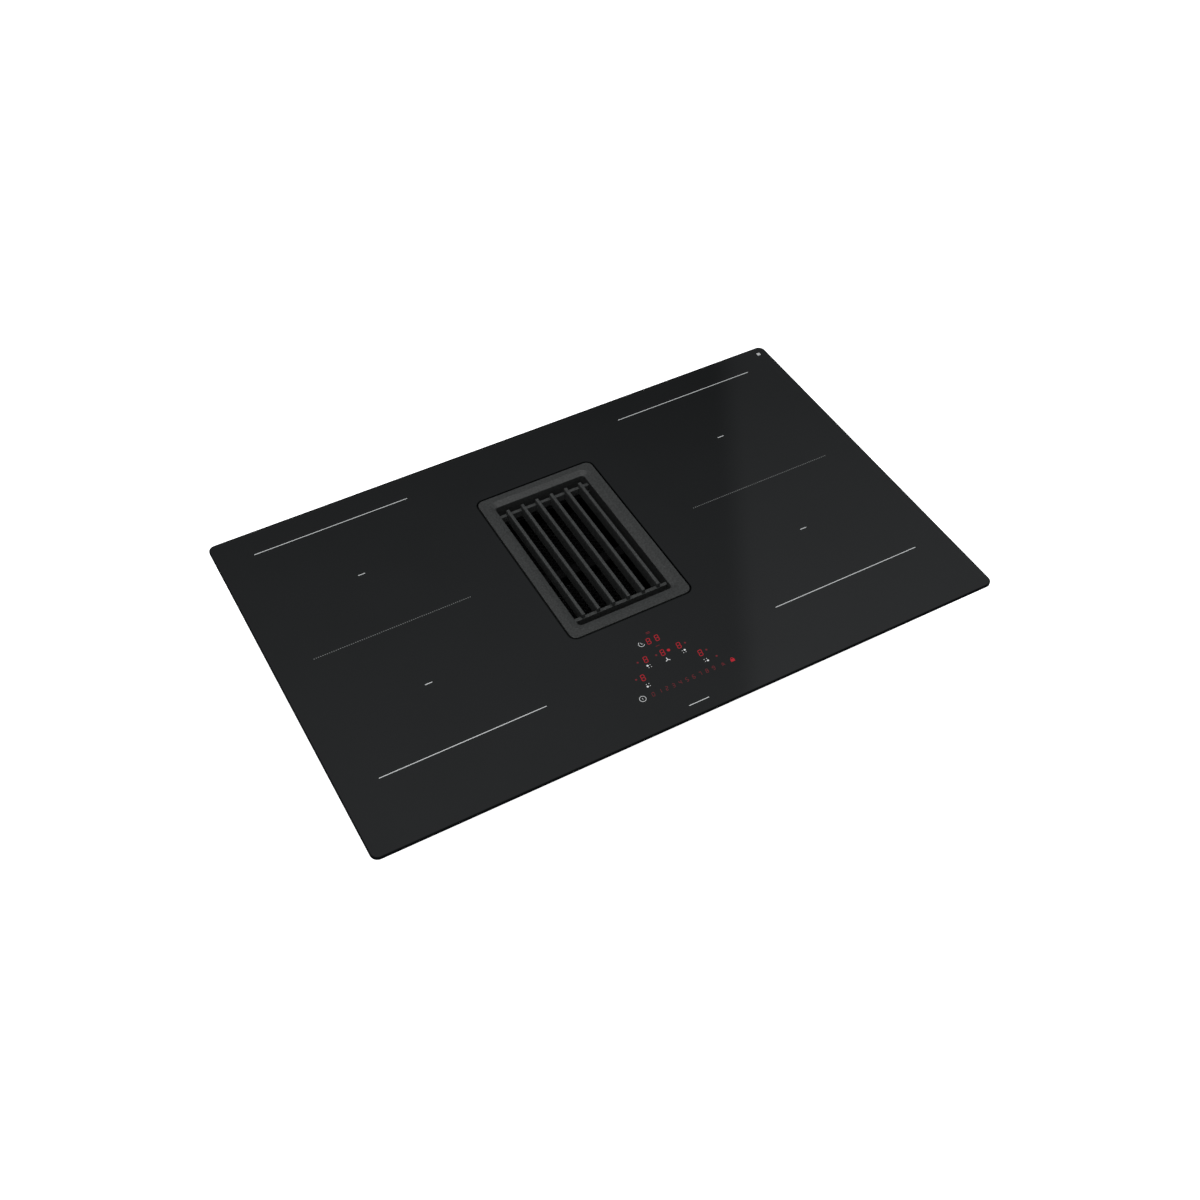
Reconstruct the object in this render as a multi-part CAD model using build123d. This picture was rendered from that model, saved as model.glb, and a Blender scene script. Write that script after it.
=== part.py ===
from build123d import *
import os
from math import cos, radians, sin

# Electric induction cooktop with a central downdraft extractor.
# Millimetres. +X right, +Y to the wall, +Z up, z = 0 at the base of the air housing.

# Glass plate
GLASS_W, GLASS_D, GLASS_T, GLASS_R = 830.0, 520.0, 4.0, 9.5
GLASS_TOP = 216.0
GLASS_LOW = GLASS_TOP - GLASS_T
GLASS_EDGE = 0.8

# Air vent in the glass, its flush trim and the grille
VENT_Y = 37.5
CUT_W, CUT_D, CUT_R = 170.5, 265.5, 11.0
TRIM_W, TRIM_D, TRIM_R = 166.5, 261.5, 9.0
TRIM_TOP = GLASS_TOP + 0.3
TRIM_FLANGE_LOW = GLASS_LOW - 1.0
TRIM_LOW = 186.0
THROAT_W, THROAT_D, THROAT_R = 130.5, 227.0, 4.5
TRIM_WALL = 2.0
DISH_REACH, DISH_DROP = 8.5, 3.0
SLAT_T, SLAT_PITCH, SLAT_COUNT = 4.2, 21.0, 6
SLAT_HALF = 101.5
SLAT_TOP = GLASS_TOP
SLAT_ROUND = 0.9
BAR_Y, BAR_T = 100.0, 4.5
BAR_TOP, GRILLE_LOW = 208.7, 199.0
BAR_PLAY = 0.3
LUG_REACH, LUG_W, LUG_T, LUG_BITE = 3.0, 8.0, 4.0, 1.0
TRIM_ROUND, BAR_ROUND = 0.5, 0.8

# Sealing strips under the glass
SEAL_T, SEAL_INSET, SEAL_W = 2.6, 3.0, 8.0
SEAL_R = 2.0
SHAFT_SEAL_W, SHAFT_SEAL_D, SHAFT_SEAL_R, SHAFT_SEAL_PLAY = 190.0, 285.0, 13.0, 1.5

# Sheet-metal casing tray and the frame that bonds it to the glass
SHEET = 1.0
TRAY_W, TRAY_D, TRAY_R, TRAY_Y = 784.0, 472.0, 8.0, 4.0
TRAY_LOW, TRAY_HIGH = 172.0, 210.8
TRAY_FLOOR = TRAY_LOW + SHEET
FRAME_T, FRAME_LEG, FRAME_LOW, FRAME_R = 1.5, 10.0, 198.0, 2.0
FRONT_Y = TRAY_Y - TRAY_D / 2
BACK_Y = TRAY_Y + TRAY_D / 2
SIDE_X = TRAY_W / 2

# Intake shaft between the trim and the air housing
WALL = 2.5
POCKET_W, POCKET_D, POCKET_R, POCKET_LOW = 137.5, 232.0, 8.5, 184.0
SHAFT_W, SHAFT_D, SHAFT_R = 125.0, 220.0, 7.0
SHAFT_FLANGE_W, SHAFT_FLANGE_D, SHAFT_FLANGE_T, SHAFT_FLANGE_R = 192.0, 287.0, 3.0, 14.0
LEDGE_LOW, LEDGE_T, LEDGE_W, LEDGE_R = 143.0, 3.0, 7.5, 3.0
TRAY_HOLE_PLAY, COL_HOLE_PLAY = 2.0, 1.0

# Grease filter cassette
FILTER_W, FILTER_D, FILTER_R, FILTER_WALL = 123.0, 218.0, 6.0, 1.6
FILTER_LOW, FILTER_TOP = 146.3, 182.0
FILTER_LIP, FILTER_LIP_R, FILTER_FLOOR = 5.0, 3.0, FILTER_LOW + 2.0
MESH_T = 12.0
GRIP_W, GRIP_T, GRIP_TOP = 14.0, 4.0, 179.0

# Collector housing under the tray, and its drip tray
COL_X0, COL_X1, COL_Y0, COL_Y1 = -98.0, 92.0, -95.0, 172.0
COL_R, COL_FLANGE = 12.0, 8.0
RIB_T, RIB_OUT, RIB_PITCH, RIB_START = 3.0, 2.0, 34.0, 15.0
RIBS_SIDE, RIBS_END, RIB_LOW, RIB_LOW_FRONT = 8, 5, 12.0, 46.0
COL_SCREW_XS, COL_SCREWS_LEFT, COL_SCREW_RIGHT = [-60.0, 0.0, 60.0], [-20.0, 100.0], -84.0
DRIP_PLAY, DRIP_LOW, DRIP_TOP = 2.0, 3.0, 27.0
DRIP_WALL, DRIP_SLOT_PLAY, DRIP_GAP = 2.0, 4.0, 0.3
PANEL_T, PANEL_TOP, PANEL_INSET = 3.0, 34.0, 1.0
PULL_X0, PULL_X1, PULL_OUT, PULL_T, PULL_DROP = -45.0, 39.0, 12.0, 3.0, 6.0

# Blower: impeller axis runs along X
BLOWER_Y, BLOWER_Z = 10.0, 78.0
SCROLL_X0, SCROLL_X1 = COL_X1, 169.0
SCROLL_MID = (SCROLL_X0 + SCROLL_X1) / 2
SCROLL_R, SCROLL_GROWTH, TONGUE_DEG = 68.0, 8.0, 28.0
SCROLL_TOP = SCROLL_R + 2.5 * SCROLL_GROWTH
SCROLL_EXIT_Y, EXIT_LOW = 173.0, 20.0
SCROLL_FLANGE, SCROLL_FLANGE_T = 3.0, 2.0
INLET_R, SHAFT_HOLE_R = 47.0, 14.0
IMPELLER_R, IMPELLER_INNER_R = 58.0, 48.0
IMPELLER_X0, IMPELLER_X1 = 98.0, 161.0
IMPELLER_BACK_T, IMPELLER_RING_T = 2.5, 3.0
HUB_R, HUB_X0 = 16.0, IMPELLER_X1 - 26.0
BLADE_COUNT, BLADE_T, BLADE_L, BLADE_DEG, BLADE_MID_R = 30, 1.4, 8.4, 32.0, 52.6
MOTOR_R, MOTOR_FLANGE_R = 44.0, 54.0
MOTOR_X0, MOTOR_X1, MOTOR_WALL, MOTOR_ROUND = 173.0, 217.0, 2.0, 4.0
MOTOR_SLOTS, MOTOR_SLOT_R, MOTOR_SLOT_L, MOTOR_SLOT_W = 10, 27.0, 16.0, 5.0
MOTOR_SHAFT_R, BEARING_R, BEARING_T, BEARING_SEAT = 4.0, 11.0, 6.0, 2.0
REAR_BEARING_X = MOTOR_X1 - MOTOR_WALL - BEARING_T
CORE_X0, CORE_X1, STATOR_BORE_R, ROTOR_R = 183.0, 205.0, 25.0, 24.0
RUNNING_FIT = 0.05
MOTOR_PLATE_T = 3.0
MOUNT_CIRCLE_R, MOUNT_R, MOUNT_NECK_R = 49.0, 6.0, 2.4
MOUNT_HEAD_R, MOUNT_HEAD_T, MOUNT_PLAY = 4.2, 3.0, 0.1

# Outlet: diffuser, flat-duct spigot, backdraft flap
SPIGOT_X, SPIGOT_Z = 59.0, 106.5
SPIGOT_W, SPIGOT_H, SPIGOT_WALL = 222.0, 89.0, 2.0
SPIGOT_Y0, SPIGOT_Y1, SPIGOT_FLANGE_T, SPIGOT_FLANGE = 232.0, 258.0, 3.0, 10.0
SPIGOT_FLANGE_R, COLLAR_R = 6.0, 3.0
FLAP_Y, FLAP_PLAY, FLAP_T = 242.0, 0.6, 1.6
FLAP_PIN_R, FLAP_BARREL_R, FLAP_DROP = 1.5, 2.7, 3.6

# Induction coils and what carries them
COIL_X = 262.0
COIL_YS = {"front": -69.5, "rear": 123.5}
SIDES = {"left": -1, "right": 1}
COIL_W, COIL_D, COIL_R = 196.0, 180.0, 80.0
COIL_HOLE_W, COIL_HOLE_D, COIL_HOLE_R = 72.0, 56.0, 26.0
PLATE_LOW, PLATE_T = 193.5, 1.5
PLATE_HOLE_R = 20.0
FERRITE_T, FERRITE_L, FERRITE_W, FERRITE_COUNT = 4.0, 52.0, 14.0, 8
FERRITE_MID_R = 52.0
CARRIER_T, WINDING_T = 2.2, 6.0
GROOVES, GROOVE_W, GROOVE_DEPTH = 6, 0.9, 2.0
FERRITE_LOW = PLATE_LOW + PLATE_T
CARRIER_LOW = FERRITE_LOW + FERRITE_T
WINDING_LOW = CARRIER_LOW + CARRIER_T
MAT_LOW = WINDING_LOW + WINDING_T
MAT_TOP = GLASS_LOW - 0.2
MAT_W, MAT_Y0, MAT_Y1, MAT_R = 214.0, -166.0, 220.0, 6.0
SENSOR_R, SENSOR_PLAY, CARRIER_RIM = 6.0, 0.5, 2.0
PLATE_X0, PLATE_X1, PLATE_Y0, PLATE_Y1 = 150.0, 380.0, -222.0, 230.0
POST_R, POST_XS, POST_YS = 4.0, [155.0, 377.0], [-214.0, 225.0]

# Power electronics in the tray
BOARD_LOW, BOARD_T = 177.0, 1.6
BOARD_TOP = BOARD_LOW + BOARD_T
BOARD_X0, BOARD_X1, BOARD_Y0, BOARD_Y1 = 160.0, 374.0, -102.0, 222.0
STANDOFF_R, STANDOFF_INSET = 3.0, 6.0
SINK_X, SINK_Y0 = 250.0, -80.0
SINK_W, SINK_D, SINK_BASE, SINK_TOP, FIN_T, FIN_COUNT = 56.0, 180.0, 3.0, 191.5, 1.6, 8
CAP_R, CAP_TOP = 9.0, 191.0
CAP_SPOTS = [(195.0, -70.0), (195.0, -46.0), (195.0, -22.0), (195.0, 2.0), (325.0, -60.0), (325.0, -36.0)]
CHOKE_X, CHOKE_Y, CHOKE_R, CHOKE_BORE_R, CHOKE_TOP = 335.0, 40.0, 17.0, 8.0, 189.6
RELAY_TOP = 190.6
RELAYS = [(300.0, 350.0, 110.0, 132.0), (180.0, 214.0, 40.0, 84.0)]
FAN_X, FAN_Y, FAN_SIZE, FAN_TOP, FAN_R = 262.0, -162.0, 80.0, 189.0, 37.0
FAN_HUB_R, FAN_PIN_R, FAN_BLADES, FAN_CORNER_R = 14.0, 1.5, 7, 6.0
FAN_BLADE_L, FAN_BLADE_W, FAN_BLADE_T, FAN_BLADE_DEG = 22.0, 13.0, 1.4, 35.0
FAN_ARMS, FAN_ARM_W, FAN_ARM_T, FAN_ARM_L = 4, 4.0, 2.0, 26.0
FAN_BLADE_MID_R, FAN_PIN_TOP, FAN_PIN_HOLE_TOP = 23.5, 185.0, 185.5
FAN_ROTOR_LOW, FAN_ROTOR_TOP = 176.0, 187.0

# Touch control under the front of the glass
CONTROL_W, CONTROL_D, CONTROL_Y = 164.0, 102.0, -170.0
HOLDER_LOW, HOLDER_T, CONTROL_BOARD_T = 203.0, 2.0, 1.6
HOLDER_TOP = HOLDER_LOW + HOLDER_T
CONTROL_BOARD_TOP = HOLDER_TOP + CONTROL_BOARD_T
HOLDER_R, LEG_R, LEG_INSET, BOARD_INSET = 4.0, 4.0, 8.0, 2.0
DIGIT_W, DIGIT_D, DIGIT_TOP, TIMER_DIGIT_W, TIMER_Y = 12.0, 15.0, 210.8, 10.0, -138.4
DIGITS = [(-5.4, TIMER_Y), (6.0, TIMER_Y), (0.2, -161.4), (-22.4, -160.8)]
DIGITS += [(22.9, -160.8), (-39.1, -183.8), (39.4, -182.2)]
SLIDER_Y, SLIDER_KEYS, SLIDER_PITCH, SLIDER_X0, POWER_X = -210.0, 12, 9.1, -41.0, -55.2
KEY_R = 3.4

# Mains terminal box under the rear left of the tray
TERM_X, TERM_W, TERM_Y0, TERM_Y1, TERM_LOW = -290.0, 100.0, 168.0, 238.0, 140.0
TERM_WALL, COVER_T, TERM_R = 2.0, 2.0, 5.0
WIRE_HOLE_HALF, WIRE_HOLE_Y0, WIRE_HOLE_Y1 = 30.0, 176.0, 198.0
STRIP_HALF, STRIP_Y0, STRIP_Y1, STRIP_LOW, STRIP_TOP = 35.0, 182.0, 200.0, 150.0, 168.0
POLES, POLE_PITCH, POLE_SCREW_R, POLE_SCREW_DEPTH = 5, 14.0, 3.0, 8.0
POLE_WIRE_R, POLE_WIRE_Z = 2.5, 155.0
GLAND_Z, GLAND_BORE_R, GLAND_BODY_R, GLAND_CAP_R = 157.0, 6.2, 8.0, 10.5
GLAND_FLANGE_R, GLAND_FLANGE_T, GLAND_NUT_R, GLAND_ROUND, GLAND_PLAY = 12.0, 5.0, 11.0, 2.5, 0.2
GLAND_Y0, GLAND_Y1 = 229.0, 256.0

# Worktop clamps on the tray's sides
CLAMP_YS = {"front": -150.0, "rear": 170.0}
CLAMP_X, CLAMP_W, CLAMP_L, CLAMP_T = 397.0, 9.2, 46.0, 4.0
CLAMP_LUG_LOW, CLAMP_LUG_T, CLAMP_LUG_D, CLAMP_LUG_X, CLAMP_RIB = 178.0, 2.0, 24.0, 402.0, 8.0
CLAMP_GAP = 0.3
CLAMP_TOP = CLAMP_LUG_LOW - CLAMP_GAP
CLAMP_LOW = CLAMP_TOP - CLAMP_T
CLAMP_R, CLAMP_TIP, CLAMP_TIP_L, CLAMP_TIP_PAST, CLAMP_TIP_INSET = 4.5, 5.0, 4.0, 2.0, 1.0
CLAMP_SCREW_R, CLAMP_SCREW_TOP, CLAMP_HEAD_R, CLAMP_HEAD_T = 2.2, 190.0, 4.0, 3.0

# Screws
SCREW_R, SCREW_HOLE_R, HEAD_R, HEAD_T = 1.9, 2.1, 3.8, 2.2
CASE_SCREW_XS = [-330.0, -110.0, 110.0, 330.0]
CASE_SCREW_Z, CASE_SCREW_L, COL_SCREW_TOP = 204.0, 7.0, TRAY_FLOOR + 2

# Louvres in the tray
SLOT_W, SLOT_H, SLOT_PITCH, SLOT_COUNT = 4.0, 16.0, 9.0, 14
LOUVRE_X, LOUVRE_Z = 220.0, 185.0
FAN_SLOT_ROWS, FAN_SLOT_PITCH, FAN_SLOT_R = 4, 7.5, 31.0

# Length of a cutting block that passes through a wall
THROUGH = 10.0


def block(x0, x1, y0, y1, z0, z1):
    """A block between two corners."""
    middle = Pos((x0 + x1) / 2, (y0 + y1) / 2, (z0 + z1) / 2)
    return middle * Box(x1 - x0, y1 - y0, z1 - z0)


def slab(width, depth, radius, z0, z1, x=0.0, y=0.0):
    """A plate with rounded corners, centred on x, y, from z0 up to z1."""
    return extrude(Pos(x, y, z0) * RectangleRounded(width, depth, radius), z1 - z0)


def upright(radius, z0, z1, x=0.0, y=0.0):
    """A vertical cylinder."""
    return Pos(x, y, (z0 + z1) / 2) * Cylinder(radius, z1 - z0)


def along_x(radius, x0, x1, y, z):
    """A cylinder along X."""
    return Pos((x0 + x1) / 2, y, z) * Rot(0, 90, 0) * Cylinder(radius, x1 - x0)


def along_y(radius, y0, y1, x, z):
    """A cylinder along Y."""
    return Pos(x, (y0 + y1) / 2, z) * Rot(90, 0, 0) * Cylinder(radius, y1 - y0)


def mirrored_x(side, x0, x1):
    """A span of X on one side of the middle, low end first."""
    return sorted((side * x0, side * x1))


def group(pieces):
    """Separate solids kept together in one node."""
    return Compound([solid for piece in pieces for solid in piece.solids()])


def top_face(shape):
    return shape.faces().sort_by(Axis.Z)[-1]


# Glass, seals and frame


def glass_top():
    plate = slab(GLASS_W, GLASS_D, GLASS_R, GLASS_LOW, GLASS_TOP)
    plate = chamfer(top_face(plate).edges(), GLASS_EDGE)
    return plate - slab(CUT_W, CUT_D, CUT_R, GLASS_LOW, GLASS_TOP, y=VENT_Y)


def perimeter_seal():
    outer_w = GLASS_W - 2 * SEAL_INSET
    outer_d = GLASS_D - 2 * SEAL_INSET
    outer = slab(outer_w, outer_d, GLASS_R - SEAL_INSET, GLASS_LOW - SEAL_T, GLASS_LOW)
    return outer - slab(outer_w - 2 * SEAL_W, outer_d - 2 * SEAL_W, SEAL_R, GLASS_LOW - SEAL_T, GLASS_LOW)


def shaft_seal():
    outer = slab(SHAFT_SEAL_W, SHAFT_SEAL_D, SHAFT_SEAL_R, TRIM_FLANGE_LOW, GLASS_LOW, y=VENT_Y)
    hole_w, hole_d = CUT_W + 2 * SHAFT_SEAL_PLAY, CUT_D + 2 * SHAFT_SEAL_PLAY
    return outer - slab(hole_w, hole_d, CUT_R + SHAFT_SEAL_PLAY, TRIM_FLANGE_LOW, GLASS_LOW, y=VENT_Y)


def glass_frame():
    """L-section ring: one leg bonded under the glass, the other outside the tray wall."""
    outer_w, outer_d = TRAY_W + 2 * FRAME_T, TRAY_D + 2 * FRAME_T
    ring = slab(outer_w, outer_d, TRAY_R + FRAME_T, FRAME_LOW, GLASS_LOW, y=TRAY_Y)
    ring -= slab(TRAY_W, TRAY_D, TRAY_R, FRAME_LOW, TRAY_HIGH, y=TRAY_Y)
    inner_w, inner_d = TRAY_W - 2 * FRAME_LEG, TRAY_D - 2 * FRAME_LEG
    ring -= slab(inner_w, inner_d, FRAME_R, TRAY_HIGH, GLASS_LOW, y=TRAY_Y)
    return ring - case_screw_holes()


def case_screw_holes():
    holes = []
    for x in CASE_SCREW_XS:
        for y in (FRONT_Y, BACK_Y):
            holes.append(along_y(SCREW_HOLE_R, y - THROUGH / 2, y + THROUGH / 2, x, CASE_SCREW_Z))
    return holes


def case_screws():
    """Screws that hold the tray in the frame, heads outwards."""
    screws = []
    for x in CASE_SCREW_XS:
        front, back = FRONT_Y - FRAME_T, BACK_Y + FRAME_T
        shank = along_y(SCREW_R, front, front + CASE_SCREW_L, x, CASE_SCREW_Z)
        screws.append(shank + along_y(HEAD_R, front - HEAD_T, front, x, CASE_SCREW_Z))
        shank = along_y(SCREW_R, back - CASE_SCREW_L, back, x, CASE_SCREW_Z)
        screws.append(shank + along_y(HEAD_R, back, back + HEAD_T, x, CASE_SCREW_Z))
    return group(screws)


# Vent trim, grille and grease filter


def vent_trim():
    """Frame flush with the glass, dished toward its throat, with lugs that carry the grille."""
    trim = slab(TRIM_W, TRIM_D, TRIM_R, TRIM_FLANGE_LOW, TRIM_TOP, y=VENT_Y)
    trim = fillet(top_face(trim).edges(), TRIM_ROUND)
    skirt_w, skirt_d = THROAT_W + 2 * TRIM_WALL, THROAT_D + 2 * TRIM_WALL
    trim += slab(skirt_w, skirt_d, THROAT_R + TRIM_WALL, TRIM_LOW, TRIM_FLANGE_LOW, y=VENT_Y)
    trim -= slab(THROAT_W, THROAT_D, THROAT_R, TRIM_LOW, TRIM_TOP, y=VENT_Y)
    top = top_face(trim)
    trim = chamfer(top.inner_wires()[0].edges(), DISH_REACH, DISH_DROP, reference=top)
    for side in (-1, 1):
        for y in (VENT_Y - BAR_Y, VENT_Y + BAR_Y):
            lug = Box(LUG_REACH + LUG_BITE, LUG_W, LUG_T)
            x = side * (THROAT_W - LUG_REACH + LUG_BITE) / 2
            trim += Pos(x, y, GRILLE_LOW - BAR_PLAY - LUG_T / 2) * lug
    return trim


def slat_xs():
    first = -SLAT_PITCH * (SLAT_COUNT - 1) / 2
    return [first + i * SLAT_PITCH for i in range(SLAT_COUNT)]


def grille_slats():
    """Upright slats whose ends lie on the crossbars."""
    slats = []
    reach = BAR_Y - BAR_T / 2
    for x in slat_xs():
        half = SLAT_T / 2
        top = block(x - half, x + half, -SLAT_HALF, SLAT_HALF, BAR_TOP, SLAT_TOP)
        top = fillet(top_face(top).edges(), SLAT_ROUND)
        web = block(x - half, x + half, -reach, reach, GRILLE_LOW, BAR_TOP)
        slats.append(Pos(0, VENT_Y, 0) * (top + web))
    return group(slats)


def grille_crossbars():
    half = THROAT_W / 2 - BAR_PLAY
    bars = []
    for y in (VENT_Y - BAR_Y, VENT_Y + BAR_Y):
        bar = block(-half, half, y - BAR_T / 2, y + BAR_T / 2, GRILLE_LOW, BAR_TOP)
        bars.append(fillet(bar.edges().filter_by(Axis.Z), BAR_ROUND))
    return group(bars)


def filter_frame():
    """Cassette: a thin wall with a lip below the mesh and a grip across it."""
    inner_w, inner_d = FILTER_W - 2 * FILTER_WALL, FILTER_D - 2 * FILTER_WALL
    frame = slab(FILTER_W, FILTER_D, FILTER_R, FILTER_LOW, FILTER_TOP, y=VENT_Y)
    frame -= slab(inner_w, inner_d, FILTER_R - FILTER_WALL, FILTER_FLOOR, FILTER_TOP, y=VENT_Y)
    lip_w, lip_d = inner_w - 2 * FILTER_LIP, inner_d - 2 * FILTER_LIP
    frame -= slab(lip_w, lip_d, FILTER_LIP_R, FILTER_LOW, FILTER_FLOOR, y=VENT_Y)
    return frame + filter_grip()


def filter_mesh():
    inner_w, inner_d = FILTER_W - 2 * FILTER_WALL, FILTER_D - 2 * FILTER_WALL
    return slab(inner_w, inner_d, FILTER_R - FILTER_WALL, FILTER_FLOOR, FILTER_FLOOR + MESH_T, y=VENT_Y)


def filter_grip():
    """Bridge across the cassette, to lift it out by."""
    low = FILTER_FLOOR + MESH_T
    half = FILTER_W / 2 - FILTER_WALL
    bridge = block(-half, half, -GRIP_W / 2, GRIP_W / 2, low, GRIP_TOP)
    bridge -= block(-half + GRIP_T, half - GRIP_T, -GRIP_W / 2, GRIP_W / 2, low, GRIP_TOP - GRIP_T)
    return Pos(0, VENT_Y, 0) * bridge


# Casing tray, intake shaft and collector


def louvre(x, y, z, normal):
    """A row of upright slots through a wall that faces along Y, or along X."""
    row = SLOT_PITCH * (SLOT_COUNT - 1)
    cuts = []
    for i in range(SLOT_COUNT):
        shift = -row / 2 + i * SLOT_PITCH
        if normal == "y":
            cuts.append(Pos(x + shift, y, z) * Box(SLOT_W, THROUGH, SLOT_H))
        else:
            cuts.append(Pos(x, y + shift, z) * Box(THROUGH, SLOT_W, SLOT_H))
    return cuts


def fan_slots(x):
    """Air slots in the tray floor under a cooling fan."""
    cuts = []
    for i in range(-FAN_SLOT_ROWS, FAN_SLOT_ROWS + 1):
        shift = i * FAN_SLOT_PITCH
        length = 2 * (FAN_SLOT_R**2 - shift**2) ** 0.5
        cuts.append(Pos(x + shift, FAN_Y, TRAY_LOW) * Box(SLOT_W, length, 2 * SHEET))
    return cuts


def collector_screw_spots():
    """Screw positions along the collector's flange."""
    out = COL_FLANGE / 2
    spots = [(x, y) for x in COL_SCREW_XS for y in (COL_Y0 - out, COL_Y1 + out)]
    spots += [(COL_X0 - out, y) for y in COL_SCREWS_LEFT]
    return spots + [(COL_X1 + out, COL_SCREW_RIGHT)]


def clamp_lug(side, y):
    """Lug on the tray's side with the hole for a clamp screw."""
    x0, x1 = mirrored_x(side, SIDE_X, CLAMP_LUG_X)
    half = CLAMP_LUG_D / 2
    top = CLAMP_LUG_LOW + CLAMP_LUG_T
    lug = block(x0, x1, y - half, y + half, CLAMP_LUG_LOW, top)
    for edge in (-half, half - SHEET):
        lug += block(x0, x1, y + edge, y + edge + SHEET, top, top + CLAMP_RIB)
    return lug - upright(CLAMP_SCREW_R + RUNNING_FIT, CLAMP_LUG_LOW, top, side * CLAMP_X, y)


def casing_tray():
    """Folded sheet tray that holds the coils and electronics, with louvres and clamp lugs."""
    tray = slab(TRAY_W, TRAY_D, TRAY_R, TRAY_LOW, TRAY_HIGH, y=TRAY_Y)
    tray -= slab(TRAY_W - 2 * SHEET, TRAY_D - 2 * SHEET, TRAY_R - SHEET, TRAY_FLOOR, TRAY_HIGH, y=TRAY_Y)
    grow = WALL + TRAY_HOLE_PLAY
    tray -= slab(SHAFT_W + 2 * grow, SHAFT_D + 2 * grow, SHAFT_R + grow, TRAY_LOW, TRAY_FLOOR, y=VENT_Y)
    for side in SIDES.values():
        tray -= louvre(side * LOUVRE_X, FRONT_Y, LOUVRE_Z, "y")
        tray -= louvre(side * LOUVRE_X, BACK_Y, LOUVRE_Z, "y")
        tray -= louvre(side * SIDE_X, 0.0, LOUVRE_Z, "x")
        tray -= fan_slots(side * FAN_X)
        for y in CLAMP_YS.values():
            tray += clamp_lug(side, y)
    tray -= [upright(SCREW_HOLE_R, TRAY_LOW, TRAY_FLOOR, x, y) for x, y in collector_screw_spots()]
    wire_x0, wire_x1 = TERM_X - WIRE_HOLE_HALF, TERM_X + WIRE_HOLE_HALF
    tray -= block(wire_x0, wire_x1, WIRE_HOLE_Y0, WIRE_HOLE_Y1, TRAY_LOW, TRAY_FLOOR)
    return tray - case_screw_holes() + board_standoffs()


def intake_shaft():
    """Moulded shaft under the vent: pocket for the trim's skirt, then the filter well and ledge."""
    outer_w, outer_d = POCKET_W + 2 * WALL, POCKET_D + 2 * WALL
    low_w, low_d = SHAFT_W + 2 * WALL, SHAFT_D + 2 * WALL
    flange_low = TRIM_FLANGE_LOW - SHAFT_FLANGE_T
    shaft = slab(SHAFT_FLANGE_W, SHAFT_FLANGE_D, SHAFT_FLANGE_R, flange_low, TRIM_FLANGE_LOW, y=VENT_Y)
    shaft += slab(outer_w, outer_d, POCKET_R + WALL, POCKET_LOW - WALL, flange_low, y=VENT_Y)
    shaft += slab(low_w, low_d, SHAFT_R + WALL, LEDGE_LOW, POCKET_LOW - WALL, y=VENT_Y)
    shaft -= slab(POCKET_W, POCKET_D, POCKET_R, POCKET_LOW, TRIM_FLANGE_LOW, y=VENT_Y)
    ledge_top = LEDGE_LOW + LEDGE_T
    shaft -= slab(SHAFT_W, SHAFT_D, SHAFT_R, ledge_top, POCKET_LOW, y=VENT_Y)
    ledge_w, ledge_d = SHAFT_W - 2 * LEDGE_W, SHAFT_D - 2 * LEDGE_W
    return shaft - slab(ledge_w, ledge_d, LEDGE_R, LEDGE_LOW, ledge_top, y=VENT_Y)


def collector_box(inset, z0, z1):
    """The collector's plan, drawn in by an inset, from z0 to z1."""
    width, depth = COL_X1 - COL_X0 - 2 * inset, COL_Y1 - COL_Y0 - 2 * inset
    x, y = (COL_X0 + COL_X1) / 2, (COL_Y0 + COL_Y1) / 2
    return slab(width, depth, COL_R - min(inset, WALL), z0, z1, x, y)


def collector_housing():
    """Box that the shaft empties into: slot for the drip tray, round way to the blower."""
    top_low = TRAY_LOW - WALL
    box = collector_box(0, 0, TRAY_LOW) + collector_box(-COL_FLANGE, top_low, TRAY_LOW)
    for i in range(RIBS_SIDE):
        y = COL_Y0 + RIB_START + i * RIB_PITCH
        box += block(COL_X0 - RIB_OUT, COL_X0, y, y + RIB_T, RIB_LOW, top_low)
    for i in range(RIBS_END):
        x = COL_X0 + RIB_START + i * RIB_PITCH
        box += block(x, x + RIB_T, COL_Y1, COL_Y1 + RIB_OUT, RIB_LOW, top_low)
        box += block(x, x + RIB_T, COL_Y0 - RIB_OUT, COL_Y0, RIB_LOW_FRONT, top_low)
    box -= collector_box(WALL, WALL, top_low)
    grow = WALL + COL_HOLE_PLAY
    box -= slab(SHAFT_W + 2 * grow, SHAFT_D + 2 * grow, SHAFT_R + grow, top_low, TRAY_LOW, y=VENT_Y)
    slot_top = DRIP_TOP + DRIP_SLOT_PLAY
    box -= block(COL_X0 + WALL, COL_X1 - WALL, COL_Y0, COL_Y0 + COL_R, WALL, slot_top)
    box -= along_x(INLET_R, COL_X1 - WALL, COL_X1, BLOWER_Y, BLOWER_Z)
    return box - [upright(SCREW_HOLE_R, top_low, TRAY_LOW, x, y) for x, y in collector_screw_spots()]


def collector_screws():
    top_low = TRAY_LOW - WALL
    screws = []
    for x, y in collector_screw_spots():
        head = upright(HEAD_R, top_low - HEAD_T, top_low, x, y)
        screws.append(head + upright(SCREW_R, top_low, COL_SCREW_TOP, x, y))
    return group(screws)


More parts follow.
